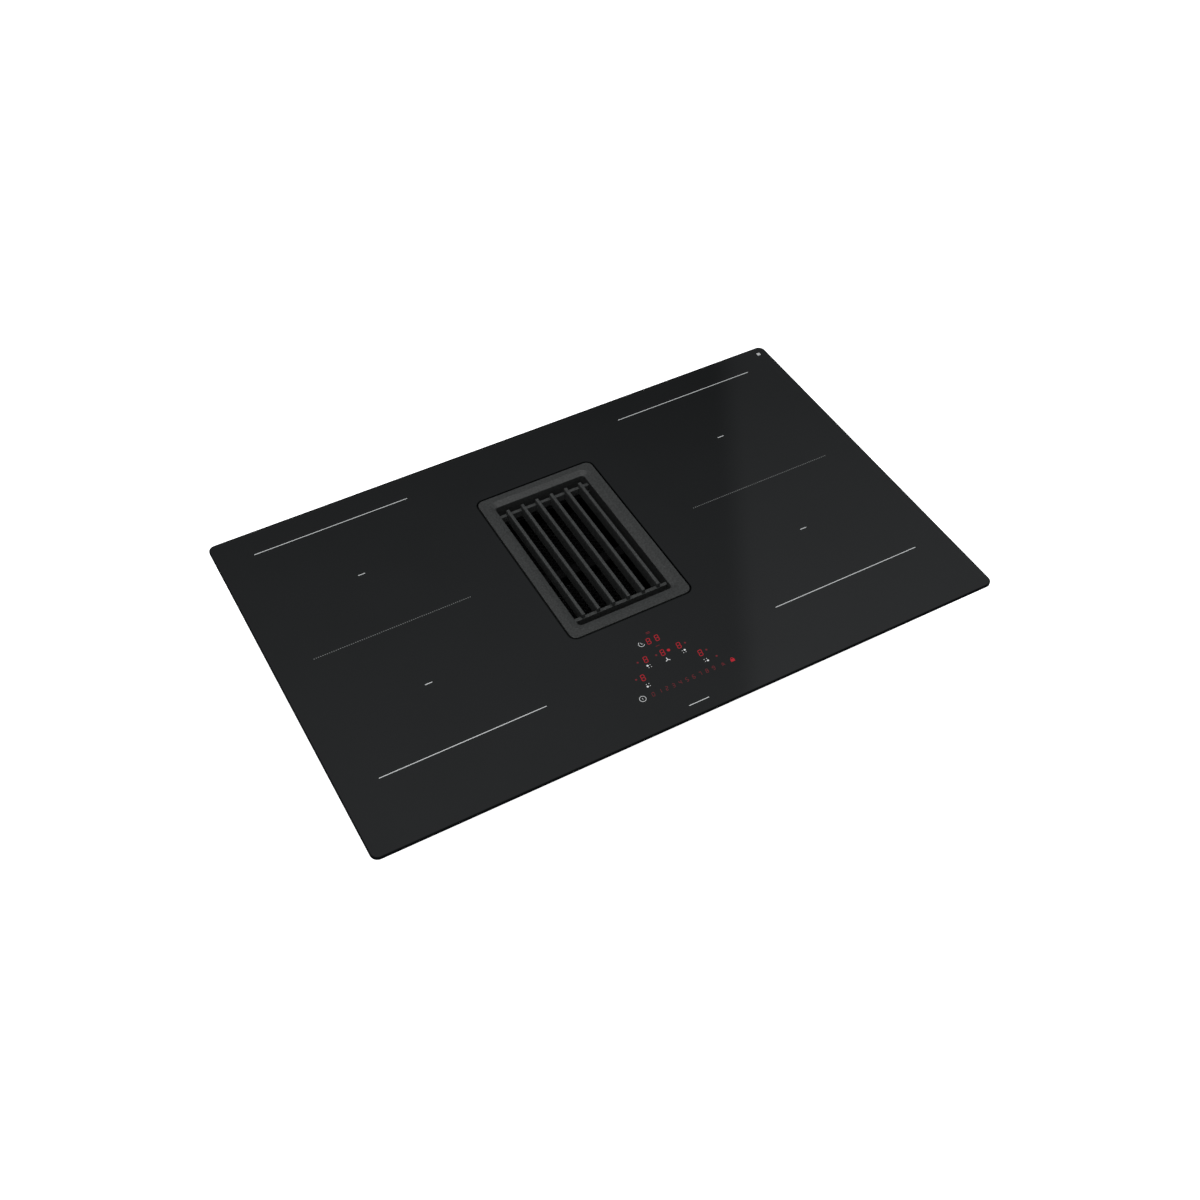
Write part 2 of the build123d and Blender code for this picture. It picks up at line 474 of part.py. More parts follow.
def drip_tray():
    """Shallow basin on the collector's floor, with a front panel and a pull lip."""
    x0, x1 = COL_X0 + WALL + DRIP_PLAY, COL_X1 - WALL - DRIP_PLAY
    y0, y1 = COL_Y0 - DRIP_GAP, COL_Y1 - WALL - DRIP_PLAY
    basin = block(x0, x1, y0, y1, DRIP_LOW, DRIP_TOP)
    basin = fillet(basin.edges().filter_by(Axis.Z).group_by(Axis.Y)[-1], COL_R - WALL)
    basin -= block(x0 + DRIP_WALL, x1 - DRIP_WALL, y0, y1 - COL_R, DRIP_LOW + DRIP_WALL, DRIP_TOP)
    front = y0 - PANEL_T
    panel = block(COL_X0 + PANEL_INSET, COL_X1 - PANEL_INSET, front, y0, DRIP_LOW, PANEL_TOP)
    pull_low = PANEL_TOP - PULL_T
    pull_y = front - PULL_OUT
    pull = block(PULL_X0, PULL_X1, pull_y, front, pull_low, PANEL_TOP)
    pull += block(PULL_X0, PULL_X1, pull_y, pull_y + PULL_T, pull_low - PULL_DROP, pull_low)
    return basin + panel + pull


# Blower


def blower_plane(x):
    """Plane across the impeller axis at x: local x is +Y, local y is +Z."""
    return Plane(origin=(x, BLOWER_Y, BLOWER_Z), x_dir=(0, 1, 0), z_dir=(1, 0, 0))


def scroll_face():
    """Air space of the scroll: three tangent arcs of growing radius, then the outlet to the rear."""
    half = SCROLL_GROWTH / 2
    radius = [SCROLL_R + i * SCROLL_GROWTH for i in range(3)]
    lower = CenterArc((-half, -half), radius[0], TONGUE_DEG, -TONGUE_DEG - 90)
    front = CenterArc((-half, half), radius[1], -90, -90)
    upper = CenterArc((half, half), radius[2], 180, -90)
    exit_y = SCROLL_EXIT_Y - BLOWER_Y
    outlet = Polyline(upper @ 1, (exit_y, SCROLL_TOP), (exit_y, EXIT_LOW), lower @ 0)
    return make_face([lower, front, upper, *outlet.edges()])


def scroll_half(x0, x1, wall_at, flange_at):
    """Half of the scroll between x0 and x1, with its side wall and joint flange."""
    void = scroll_face()
    rim = offset(void, WALL)
    flange = offset(void, WALL + SCROLL_FLANGE)
    half = extrude(blower_plane(x0) * rim, x1 - x0)
    half += extrude(blower_plane(flange_at) * flange, SCROLL_FLANGE_T)
    void_x0 = x0 + WALL if wall_at == "left" else x0
    void_x1 = x1 - WALL if wall_at == "right" else x1
    half -= extrude(blower_plane(void_x0) * void, void_x1 - void_x0)
    beyond = block(SCROLL_X0, SCROLL_X1, SCROLL_EXIT_Y, SCROLL_EXIT_Y + THROUGH, 0, TRAY_LOW)
    return half - beyond


def blower_scroll_inlet():
    half = scroll_half(SCROLL_X0, SCROLL_MID, "left", SCROLL_MID - SCROLL_FLANGE_T)
    return half - along_x(INLET_R, SCROLL_X0, SCROLL_X0 + WALL, BLOWER_Y, BLOWER_Z)


def blower_scroll_motor():
    half = scroll_half(SCROLL_MID, SCROLL_X1, "right", SCROLL_MID)
    half -= along_x(SHAFT_HOLE_R, SCROLL_X1 - WALL, SCROLL_X1, BLOWER_Y, BLOWER_Z)
    return half


def impeller():
    """Drum of forward-leaning blades between a back plate and a front ring."""
    back = along_x(IMPELLER_R, IMPELLER_X1 - IMPELLER_BACK_T, IMPELLER_X1, BLOWER_Y, BLOWER_Z)
    front = along_x(IMPELLER_R, IMPELLER_X0, IMPELLER_X0 + IMPELLER_RING_T, BLOWER_Y, BLOWER_Z)
    front -= along_x(IMPELLER_INNER_R, IMPELLER_X0, IMPELLER_X0 + IMPELLER_RING_T, BLOWER_Y, BLOWER_Z)
    wheel = back + front
    span = IMPELLER_X1 - IMPELLER_X0 - 1
    middle = blower_plane((IMPELLER_X0 + IMPELLER_X1) / 2).location
    for i in range(BLADE_COUNT):
        turn = Rot(0, 0, 360 / BLADE_COUNT * i)
        lean = Pos(BLADE_MID_R, 0, 0) * Rot(0, 0, BLADE_DEG)
        wheel += middle * turn * lean * Box(BLADE_L, BLADE_T, span)
    wheel += along_x(HUB_R, HUB_X0, IMPELLER_X1 - 1, BLOWER_Y, BLOWER_Z)
    return wheel - along_x(MOTOR_SHAFT_R + 0.02, IMPELLER_X0, IMPELLER_X1, BLOWER_Y, BLOWER_Z)


def motor_spots():
    """Three rubber mount positions on a circle about the impeller axis."""
    spots = []
    for i in range(3):
        angle = radians(90 + 120 * i)
        spots.append((BLOWER_Y + MOUNT_CIRCLE_R * cos(angle), BLOWER_Z + MOUNT_CIRCLE_R * sin(angle)))
    return spots


def motor_case():
    """Can with a mounting plate, bearing seats and air slots in its end."""
    case = along_x(MOTOR_FLANGE_R, MOTOR_X0, MOTOR_X0 + MOTOR_PLATE_T, BLOWER_Y, BLOWER_Z)
    can = along_x(MOTOR_R, MOTOR_X0, MOTOR_X1, BLOWER_Y, BLOWER_Z)
    can = fillet(can.faces().sort_by(Axis.X)[-1].edges(), MOTOR_ROUND)
    plate_x = MOTOR_X0 + MOTOR_PLATE_T
    case += can - along_x(MOTOR_R - MOTOR_WALL, plate_x, MOTOR_X1 - MOTOR_WALL, BLOWER_Y, BLOWER_Z)
    seat_r = BEARING_R + BEARING_SEAT
    for x in (MOTOR_X0, REAR_BEARING_X):
        case += along_x(seat_r, x, x + BEARING_T, BLOWER_Y, BLOWER_Z)
        case -= along_x(BEARING_R, x, x + BEARING_T, BLOWER_Y, BLOWER_Z)
    for i in range(MOTOR_SLOTS):
        turn = blower_plane(MOTOR_X1).location * Rot(0, 0, 360 / MOTOR_SLOTS * i)
        case -= turn * Pos(MOTOR_SLOT_R, 0, 0) * Box(MOTOR_SLOT_L, MOTOR_SLOT_W, 2 * MOTOR_WALL + 1)
    hole_r = MOUNT_NECK_R + MOUNT_PLAY
    return case - [along_x(hole_r, MOTOR_X0, plate_x, y, z) for y, z in motor_spots()]


def motor_mounts():
    """Rubber bushes that stand on the scroll and button through the motor's plate."""
    plate_x = MOTOR_X0 + MOTOR_PLATE_T
    bushes = []
    for y, z in motor_spots():
        bush = along_x(MOUNT_R, SCROLL_X1, MOTOR_X0, y, z)
        bush += along_x(MOUNT_NECK_R, MOTOR_X0, plate_x, y, z)
        bushes.append(bush + along_x(MOUNT_HEAD_R, plate_x, plate_x + MOUNT_HEAD_T, y, z))
    return group(bushes)


def motor_bearings():
    rings = []
    for x in (MOTOR_X0, REAR_BEARING_X):
        ring = along_x(BEARING_R, x, x + BEARING_T, BLOWER_Y, BLOWER_Z)
        rings.append(ring - along_x(MOTOR_SHAFT_R + RUNNING_FIT, x, x + BEARING_T, BLOWER_Y, BLOWER_Z))
    return group(rings)


def motor_stator():
    ring = along_x(MOTOR_R - MOTOR_WALL, CORE_X0, CORE_X1, BLOWER_Y, BLOWER_Z)
    return ring - along_x(STATOR_BORE_R, CORE_X0, CORE_X1, BLOWER_Y, BLOWER_Z)


def motor_rotor():
    """Rotor pack on the shaft that also carries the impeller."""
    shaft = along_x(MOTOR_SHAFT_R, HUB_X0, REAR_BEARING_X + BEARING_T - 0.5, BLOWER_Y, BLOWER_Z)
    return shaft + along_x(ROTOR_R, CORE_X0, CORE_X1, BLOWER_Y, BLOWER_Z)


# Outlet


def outlet_section(x0, x1, z0, z1, y):
    """Rectangular section of the duct at y."""
    plane = Plane(origin=((x0 + x1) / 2, y, (z0 + z1) / 2), x_dir=(1, 0, 0), z_dir=(0, -1, 0))
    return plane * Rectangle(x1 - x0, z1 - z0)


def outlet_diffuser():
    """Funnel from the scroll's outlet to the flat duct."""
    half_w, half_h = SPIGOT_W / 2 - SPIGOT_WALL, SPIGOT_H / 2 - SPIGOT_WALL
    x0, x1 = SCROLL_X0 + WALL, SCROLL_X1 - WALL
    z0 = BLOWER_Z + EXIT_LOW
    z1 = BLOWER_Z + SCROLL_TOP
    shells = []
    for grow in (WALL, 0):
        near = outlet_section(x0 - grow, x1 + grow, z0 - grow, z1 + grow, SCROLL_EXIT_Y)
        far_x0, far_x1 = SPIGOT_X - half_w - grow, SPIGOT_X + half_w + grow
        far_z0, far_z1 = SPIGOT_Z - half_h - grow, SPIGOT_Z + half_h + grow
        shells.append(loft([near, outlet_section(far_x0, far_x1, far_z0, far_z1, SPIGOT_Y0)]))
    return shells[0] - shells[1]


def spigot_block(width, height, y0, y1):
    half_w, half_h = width / 2, height / 2
    return block(SPIGOT_X - half_w, SPIGOT_X + half_w, y0, y1, SPIGOT_Z - half_h, SPIGOT_Z + half_h)


def flap_axis_z():
    return SPIGOT_Z + SPIGOT_H / 2 - SPIGOT_WALL - FLAP_DROP


def outlet_spigot():
    """Flange and collar that a flat duct slides over."""
    grow = 2 * SPIGOT_FLANGE
    flange_y1 = SPIGOT_Y0 + SPIGOT_FLANGE_T
    spigot = spigot_block(SPIGOT_W + grow, SPIGOT_H + grow, SPIGOT_Y0, flange_y1)
    spigot = fillet(spigot.edges().filter_by(Axis.Y), SPIGOT_FLANGE_R)
    collar = spigot_block(SPIGOT_W, SPIGOT_H, flange_y1, SPIGOT_Y1)
    spigot += fillet(collar.edges().filter_by(Axis.Y), COLLAR_R)
    cut_w, cut_h = SPIGOT_W - 2 * SPIGOT_WALL, SPIGOT_H - 2 * SPIGOT_WALL
    spigot -= spigot_block(cut_w, cut_h, SPIGOT_Y0, SPIGOT_Y1)
    return spigot - flap_pin()


def backdraft_flap():
    """Plate that hangs from its barrel and swings outwards with the air."""
    width = SPIGOT_W - 2 * SPIGOT_WALL - 2 * FLAP_PLAY
    z = flap_axis_z()
    low = SPIGOT_Z - SPIGOT_H / 2 + SPIGOT_WALL + FLAP_PLAY
    x0, x1 = SPIGOT_X - width / 2, SPIGOT_X + width / 2
    flap = block(x0, x1, FLAP_Y - FLAP_T / 2, FLAP_Y + FLAP_T / 2, low, z)
    flap += along_x(FLAP_BARREL_R, x0, x1, FLAP_Y, z)
    return flap - along_x(FLAP_PIN_R + RUNNING_FIT, x0, x1, FLAP_Y, z)


def flap_pin():
    half = SPIGOT_W / 2
    return along_x(FLAP_PIN_R, SPIGOT_X - half, SPIGOT_X + half, FLAP_Y, flap_axis_z())


# Coils


def coil_spots():
    return [(side * COIL_X, y) for side in SIDES.values() for y in COIL_YS.values()]


def coil_winding(x, y):
    """Flat oval winding; the grooves part its turns."""
    top = WINDING_LOW + WINDING_T
    coil = slab(COIL_W, COIL_D, COIL_R, WINDING_LOW, top, x, y)
    coil -= slab(COIL_HOLE_W, COIL_HOLE_D, COIL_HOLE_R, WINDING_LOW, top, x, y)
    low = top - GROOVE_DEPTH
    for i in range(1, GROOVES + 1):
        share = i / (GROOVES + 1)
        width = COIL_HOLE_W + (COIL_W - COIL_HOLE_W) * share
        depth = COIL_HOLE_D + (COIL_D - COIL_HOLE_D) * share
        radius = COIL_HOLE_R + (COIL_R - COIL_HOLE_R) * share
        wide = slab(width + GROOVE_W, depth + GROOVE_W, radius, low, top, x, y)
        coil -= wide - slab(width - GROOVE_W, depth - GROOVE_W, radius - GROOVE_W, low, top, x, y)
    return coil


def coil_carriers():
    """Moulded plates under the windings, each with a seat for its sensor."""
    plates = []
    for x, y in coil_spots():
        grow = 2 * CARRIER_RIM
        plate = slab(COIL_W + grow, COIL_D + grow, COIL_R + CARRIER_RIM, CARRIER_LOW, WINDING_LOW, x, y)
        plates.append(plate - upright(SENSOR_R, CARRIER_LOW, WINDING_LOW, x, y))
    return group(plates)


def ferrite_bars():
    """Bars that spread out under each winding."""
    bars = []
    for x, y in coil_spots():
        for i in range(FERRITE_COUNT):
            turn = Rot(0, 0, 360 / FERRITE_COUNT * (i + 0.5))
            bar = Pos(FERRITE_MID_R, 0, FERRITE_T / 2) * Box(FERRITE_L, FERRITE_W, FERRITE_T)
            bars.append(Pos(x, y, FERRITE_LOW) * turn * bar)
    return group(bars)


def temperature_sensors():
    return group([upright(SENSOR_R - SENSOR_PLAY, CARRIER_LOW, MAT_TOP, x, y) for x, y in coil_spots()])


def insulation_mat(side):
    x = side * COIL_X
    y = (MAT_Y0 + MAT_Y1) / 2
    mat = slab(MAT_W, MAT_Y1 - MAT_Y0, MAT_R, MAT_LOW, MAT_TOP, x, y)
    for coil_y in COIL_YS.values():
        mat -= upright(SENSOR_R + SENSOR_PLAY, MAT_LOW, MAT_TOP, x, coil_y)
    return mat


def coil_plate(side):
    """Aluminium sheet that carries two coils."""
    x0, x1 = mirrored_x(side, PLATE_X0, PLATE_X1)
    plate = block(x0, x1, PLATE_Y0, PLATE_Y1, PLATE_LOW, FERRITE_LOW)
    for y in COIL_YS.values():
        plate -= upright(PLATE_HOLE_R, PLATE_LOW, FERRITE_LOW, side * COIL_X, y)
    return plate


def plate_posts():
    """Posts on the tray floor under the corners of the coil plates."""
    posts = []
    for side in SIDES.values():
        for x in POST_XS:
            for y in POST_YS:
                posts.append(upright(POST_R, TRAY_FLOOR, PLATE_LOW, side * x, y))
    return group(posts)


# Electronics


def power_board(side):
    x0, x1 = mirrored_x(side, BOARD_X0, BOARD_X1)
    return block(x0, x1, BOARD_Y0, BOARD_Y1, BOARD_LOW, BOARD_TOP)


def board_standoffs():
    """Studs on the tray floor under the corners of the power boards."""
    posts = []
    for side in SIDES.values():
        for x in (BOARD_X0 + STANDOFF_INSET, BOARD_X1 - STANDOFF_INSET):
            for y in (BOARD_Y0 + STANDOFF_INSET, BOARD_Y1 - STANDOFF_INSET):
                posts.append(upright(STANDOFF_R, TRAY_FLOOR, BOARD_LOW, side * x, y))
    return posts


def heat_sink(side):
    """Finned block that cools the power transistors."""
    x0 = side * SINK_X - SINK_W / 2
    y1 = SINK_Y0 + SINK_D
    base_top = BOARD_TOP + SINK_BASE
    sink = block(x0, x0 + SINK_W, SINK_Y0, y1, BOARD_TOP, base_top)
    pitch = (SINK_W - FIN_T) / (FIN_COUNT - 1)
    for i in range(FIN_COUNT):
        fin = x0 + i * pitch
        sink += block(fin, fin + FIN_T, SINK_Y0, y1, base_top, SINK_TOP)
    return sink


def board_components(side):
    """Capacitors, a choke, a relay and a line filter on a power board."""
    pieces = [upright(CAP_R, BOARD_TOP, CAP_TOP, side * x, y) for x, y in CAP_SPOTS]
    choke = upright(CHOKE_R, BOARD_TOP, CHOKE_TOP, side * CHOKE_X, CHOKE_Y)
    pieces.append(choke - upright(CHOKE_BORE_R, BOARD_TOP, CHOKE_TOP, side * CHOKE_X, CHOKE_Y))
    for near_x, far_x, y0, y1 in RELAYS:
        x0, x1 = mirrored_x(side, near_x, far_x)
        pieces.append(block(x0, x1, y0, y1, BOARD_TOP, RELAY_TOP))
    return group(pieces)


def cooling_fan_housing(side):
    """Square frame with a round way through, hub plate, arms and bearing pin."""
    x = side * FAN_X
    frame = slab(FAN_SIZE, FAN_SIZE, FAN_CORNER_R, TRAY_FLOOR, FAN_TOP, x, FAN_Y)
    frame -= upright(FAN_R, TRAY_FLOOR, FAN_TOP, x, FAN_Y)
    frame += upright(FAN_HUB_R, TRAY_FLOOR, TRAY_FLOOR + FAN_ARM_T, x, FAN_Y)
    for i in range(FAN_ARMS):
        arm = Pos((FAN_HUB_R + FAN_R) / 2, 0, FAN_ARM_T / 2) * Box(FAN_ARM_L, FAN_ARM_W, FAN_ARM_T)
        frame += Pos(x, FAN_Y, TRAY_FLOOR) * Rot(0, 0, 360 / FAN_ARMS * (i + 0.5)) * arm
    return frame + upright(FAN_PIN_R, TRAY_FLOOR, FAN_PIN_TOP, x, FAN_Y)


def cooling_fan_rotor(side):
    """Cup hub with pitched blades."""
    x = side * FAN_X
    rotor = upright(FAN_HUB_R, FAN_ROTOR_LOW, FAN_ROTOR_TOP, x, FAN_Y)
    middle = (FAN_ROTOR_LOW + FAN_ROTOR_TOP) / 2
    for i in range(FAN_BLADES):
        blade = Rot(FAN_BLADE_DEG, 0, 0) * Box(FAN_BLADE_L, FAN_BLADE_W, FAN_BLADE_T)
        blade = Pos(FAN_BLADE_MID_R, 0, 0) * blade
        rotor += Pos(x, FAN_Y, middle) * Rot(0, 0, 360 / FAN_BLADES * i) * blade
    return rotor - upright(FAN_PIN_R + RUNNING_FIT, FAN_ROTOR_LOW, FAN_PIN_HOLE_TOP, x, FAN_Y)


def control_holder():
    """Plate on legs that presses the touch board up to the glass."""
    plate = slab(CONTROL_W, CONTROL_D, HOLDER_R, HOLDER_LOW, HOLDER_TOP, y=CONTROL_Y)
    leg_x, leg_y = CONTROL_W / 2 - LEG_INSET, CONTROL_D / 2 - LEG_INSET
    for x in (-leg_x, leg_x):
        for y in (CONTROL_Y - leg_y, CONTROL_Y + leg_y):
            plate += upright(LEG_R, TRAY_FLOOR, HOLDER_LOW, x, y)
    return plate


def control_board():
    width, depth = CONTROL_W - 2 * BOARD_INSET, CONTROL_D - 2 * BOARD_INSET
    return slab(width, depth, HOLDER_R, HOLDER_TOP, CONTROL_BOARD_TOP, y=CONTROL_Y)


def digit_displays():
    """Seven-segment modules under the glass: timer, extractor and four zones."""
    modules = []
    for x, y in DIGITS:
        half_w = (TIMER_DIGIT_W if y == TIMER_Y else DIGIT_W) / 2
        y0, y1 = y - DIGIT_D / 2, y + DIGIT_D / 2
        modules.append(block(x - half_w, x + half_w, y0, y1, CONTROL_BOARD_TOP, DIGIT_TOP))
    return group(modules)


def touch_pads():
    """Sensor pads of the slider and the power key."""
    xs = [SLIDER_X0 + i * SLIDER_PITCH for i in range(SLIDER_KEYS)] + [POWER_X]
    return group([upright(KEY_R, CONTROL_BOARD_TOP, GLASS_LOW, x, SLIDER_Y) for x in xs])


# Mains connection


def terminal_plan(inset, z0, z1):
    """The terminal box's plan, drawn in by an inset, from z0 to z1."""
    half = TERM_W / 2 - inset
    return block(TERM_X - half, TERM_X + half, TERM_Y0 + inset, TERM_Y1 - inset, z0, z1)


def terminal_box():
    box = terminal_plan(0, TERM_LOW, TRAY_LOW)
    box = fillet(box.edges().filter_by(Axis.Z), TERM_R)
    box -= terminal_plan(TERM_WALL, TERM_LOW, TRAY_LOW)
    return box - along_y(GLAND_BODY_R + GLAND_PLAY, TERM_Y1 - TERM_WALL, TERM_Y1, TERM_X, GLAND_Z)


def terminal_cover():
    cover = terminal_plan(0, TERM_LOW - COVER_T, TERM_LOW)
    return fillet(cover.edges().filter_by(Axis.Z), TERM_R)


def terminal_block():
    """Row of five screw terminals."""
    x0, x1 = TERM_X - STRIP_HALF, TERM_X + STRIP_HALF
    row = block(x0, x1, STRIP_Y0, STRIP_Y1, STRIP_LOW, STRIP_TOP)
    for i in range(POLES):
        x = TERM_X + (i - (POLES - 1) / 2) * POLE_PITCH
        row -= upright(POLE_SCREW_R, STRIP_TOP - POLE_SCREW_DEPTH, STRIP_TOP, x, (STRIP_Y0 + STRIP_Y1) / 2)
        row -= along_y(POLE_WIRE_R, STRIP_Y0, STRIP_Y1, x, POLE_WIRE_Z)
    return row


def cable_gland():
    """Gland in the rear wall of the terminal box; its bore takes the supply cable."""
    flange_y1 = TERM_Y1 + GLAND_FLANGE_T
    flange = along_y(GLAND_FLANGE_R, TERM_Y1, flange_y1, TERM_X, GLAND_Z)
    nut = along_y(GLAND_NUT_R, GLAND_Y0, TERM_Y1 - TERM_WALL, TERM_X, GLAND_Z)
    body = along_y(GLAND_BODY_R, GLAND_Y0, GLAND_Y1, TERM_X, GLAND_Z)
    cap = along_y(GLAND_CAP_R, flange_y1, GLAND_Y1, TERM_X, GLAND_Z)
    cap = fillet(cap.faces().sort_by(Axis.Y)[-1].edges(), GLAND_ROUND)
    gland = body + flange + nut + cap
    return gland - along_y(GLAND_BORE_R, GLAND_Y0, GLAND_Y1, TERM_X, GLAND_Z)


# Worktop clamps


def worktop_clamp(side, y):
    """Arm beside the tray that swings out under the worktop; its tip bites upwards."""
    x = side * CLAMP_X
    arm = slab(CLAMP_W, CLAMP_L + CLAMP_W, CLAMP_R, CLAMP_LOW, CLAMP_TOP, x, y + CLAMP_L / 2)
    tip_y1 = y + CLAMP_L + CLAMP_TIP_PAST
    half = CLAMP_W / 2 - CLAMP_TIP_INSET
    tip = block(x - half, x + half, tip_y1 - CLAMP_TIP_L, tip_y1, CLAMP_TOP, CLAMP_TOP + CLAMP_TIP)
    return arm + tip - upright(CLAMP_SCREW_R + RUNNING_FIT, CLAMP_LOW, CLAMP_TOP, x, y)


def clamp_screws():
    screws = []
    for side in SIDES.values():
        for y in CLAMP_YS.values():
            x = side * CLAMP_X
            head_top = CLAMP_LOW - CLAMP_GAP
            shank = upright(CLAMP_SCREW_R, head_top, CLAMP_SCREW_TOP, x, y)
            screws.append(shank + upright(CLAMP_HEAD_R, head_top - CLAMP_HEAD_T, head_top, x, y))
    return group(screws)


NODES = {
    "glass_top": glass_top(),
    "perimeter_seal": perimeter_seal(),
    "shaft_seal": shaft_seal(),
    "glass_frame": glass_frame(),
    "case_screws": case_screws(),
    "vent_trim": vent_trim(),
    "grille_slats": grille_slats(),
    "grille_crossbars": grille_crossbars(),
    "filter_frame": filter_frame(),
    "filter_mesh": filter_mesh(),
    "casing_tray": casing_tray(),
    "intake_shaft": intake_shaft(),
    "collector_housing": collector_housing(),
    "collector_screws": collector_screws(),
    "drip_tray": drip_tray(),
    "blower_scroll_inlet": blower_scroll_inlet(),
    "blower_scroll_motor": blower_scroll_motor(),
    "impeller": impeller(),
    "motor_case": motor_case(),
    "motor_mounts": motor_mounts(),
    "motor_bearings": motor_bearings(),
    "motor_stator": motor_stator(),
    "motor_rotor": motor_rotor(),
    "outlet_diffuser": outlet_diffuser(),
    "outlet_spigot": outlet_spigot(),
    "backdraft_flap": backdraft_flap(),
    "flap_pin": flap_pin(),
    "coil_carriers": coil_carriers(),
    "ferrite_bars": ferrite_bars(),
    "temperature_sensors": temperature_sensors(),
    "plate_posts": plate_posts(),
    "board_components": group([board_components(side) for side in SIDES.values()]),
    "insulation_mats": group([insulation_mat(side) for side in SIDES.values()]),
    "control_holder": control_holder(),
    "control_board": control_board(),
    "digit_displays": digit_displays(),
    "touch_pads": touch_pads(),
    "terminal_box": terminal_box(),
    "terminal_cover": terminal_cover(),
    "terminal_block": terminal_block(),
    "cable_gland": cable_gland(),
    "clamp_screws": clamp_screws(),
}

for side_name, side_sign in SIDES.items():
    NODES["coil_plate_" + side_name] = coil_plate(side_sign)
    NODES["power_board_" + side_name] = power_board(side_sign)
    NODES["heat_sink_" + side_name] = heat_sink(side_sign)
    NODES["cooling_fan_housing_" + side_name] = cooling_fan_housing(side_sign)
    NODES["cooling_fan_rotor_" + side_name] = cooling_fan_rotor(side_sign)
    for row_name, coil_y in COIL_YS.items():
        NODES[f"coil_{row_name}_{side_name}"] = coil_winding(side_sign * COIL_X, coil_y)
    for row_name, clamp_y in CLAMP_YS.items():
        NODES[f"clamp_{row_name}_{side_name}"] = worktop_clamp(side_sign, clamp_y)

os.makedirs("parts", exist_ok=True)
for node_name, node_shape in NODES.items():
    export_step(node_shape, f"parts/{node_name}.step")
print(len(NODES), "nodes")
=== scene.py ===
import math

import bmesh
import bpy
from mathutils import Matrix, Vector


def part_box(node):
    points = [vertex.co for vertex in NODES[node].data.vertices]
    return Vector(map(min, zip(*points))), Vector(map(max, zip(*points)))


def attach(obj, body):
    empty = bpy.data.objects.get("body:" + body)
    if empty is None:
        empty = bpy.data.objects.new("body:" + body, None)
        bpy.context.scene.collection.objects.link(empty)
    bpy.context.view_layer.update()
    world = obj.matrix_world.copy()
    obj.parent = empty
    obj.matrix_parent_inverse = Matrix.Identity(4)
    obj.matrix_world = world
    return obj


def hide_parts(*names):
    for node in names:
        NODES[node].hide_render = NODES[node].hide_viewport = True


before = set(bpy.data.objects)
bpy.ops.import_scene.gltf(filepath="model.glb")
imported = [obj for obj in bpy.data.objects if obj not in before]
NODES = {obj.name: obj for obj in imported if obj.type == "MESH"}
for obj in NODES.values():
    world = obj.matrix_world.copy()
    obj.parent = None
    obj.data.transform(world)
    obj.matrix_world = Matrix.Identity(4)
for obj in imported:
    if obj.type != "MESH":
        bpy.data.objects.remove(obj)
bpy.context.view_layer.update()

# Induction cooktop with a central extractor. Metres; +X right, +Y to the wall, +Z up.
MM = 0.001
HOB = "hob"

GLASS_LOW, GLASS_HIGH = (Vector(corner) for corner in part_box("glass_top"))
GLASS_TOP = GLASS_HIGH.z
GLASS_MID = (GLASS_LOW + GLASS_HIGH) / 2


# ---------------------------------------------------------------- shader helpers


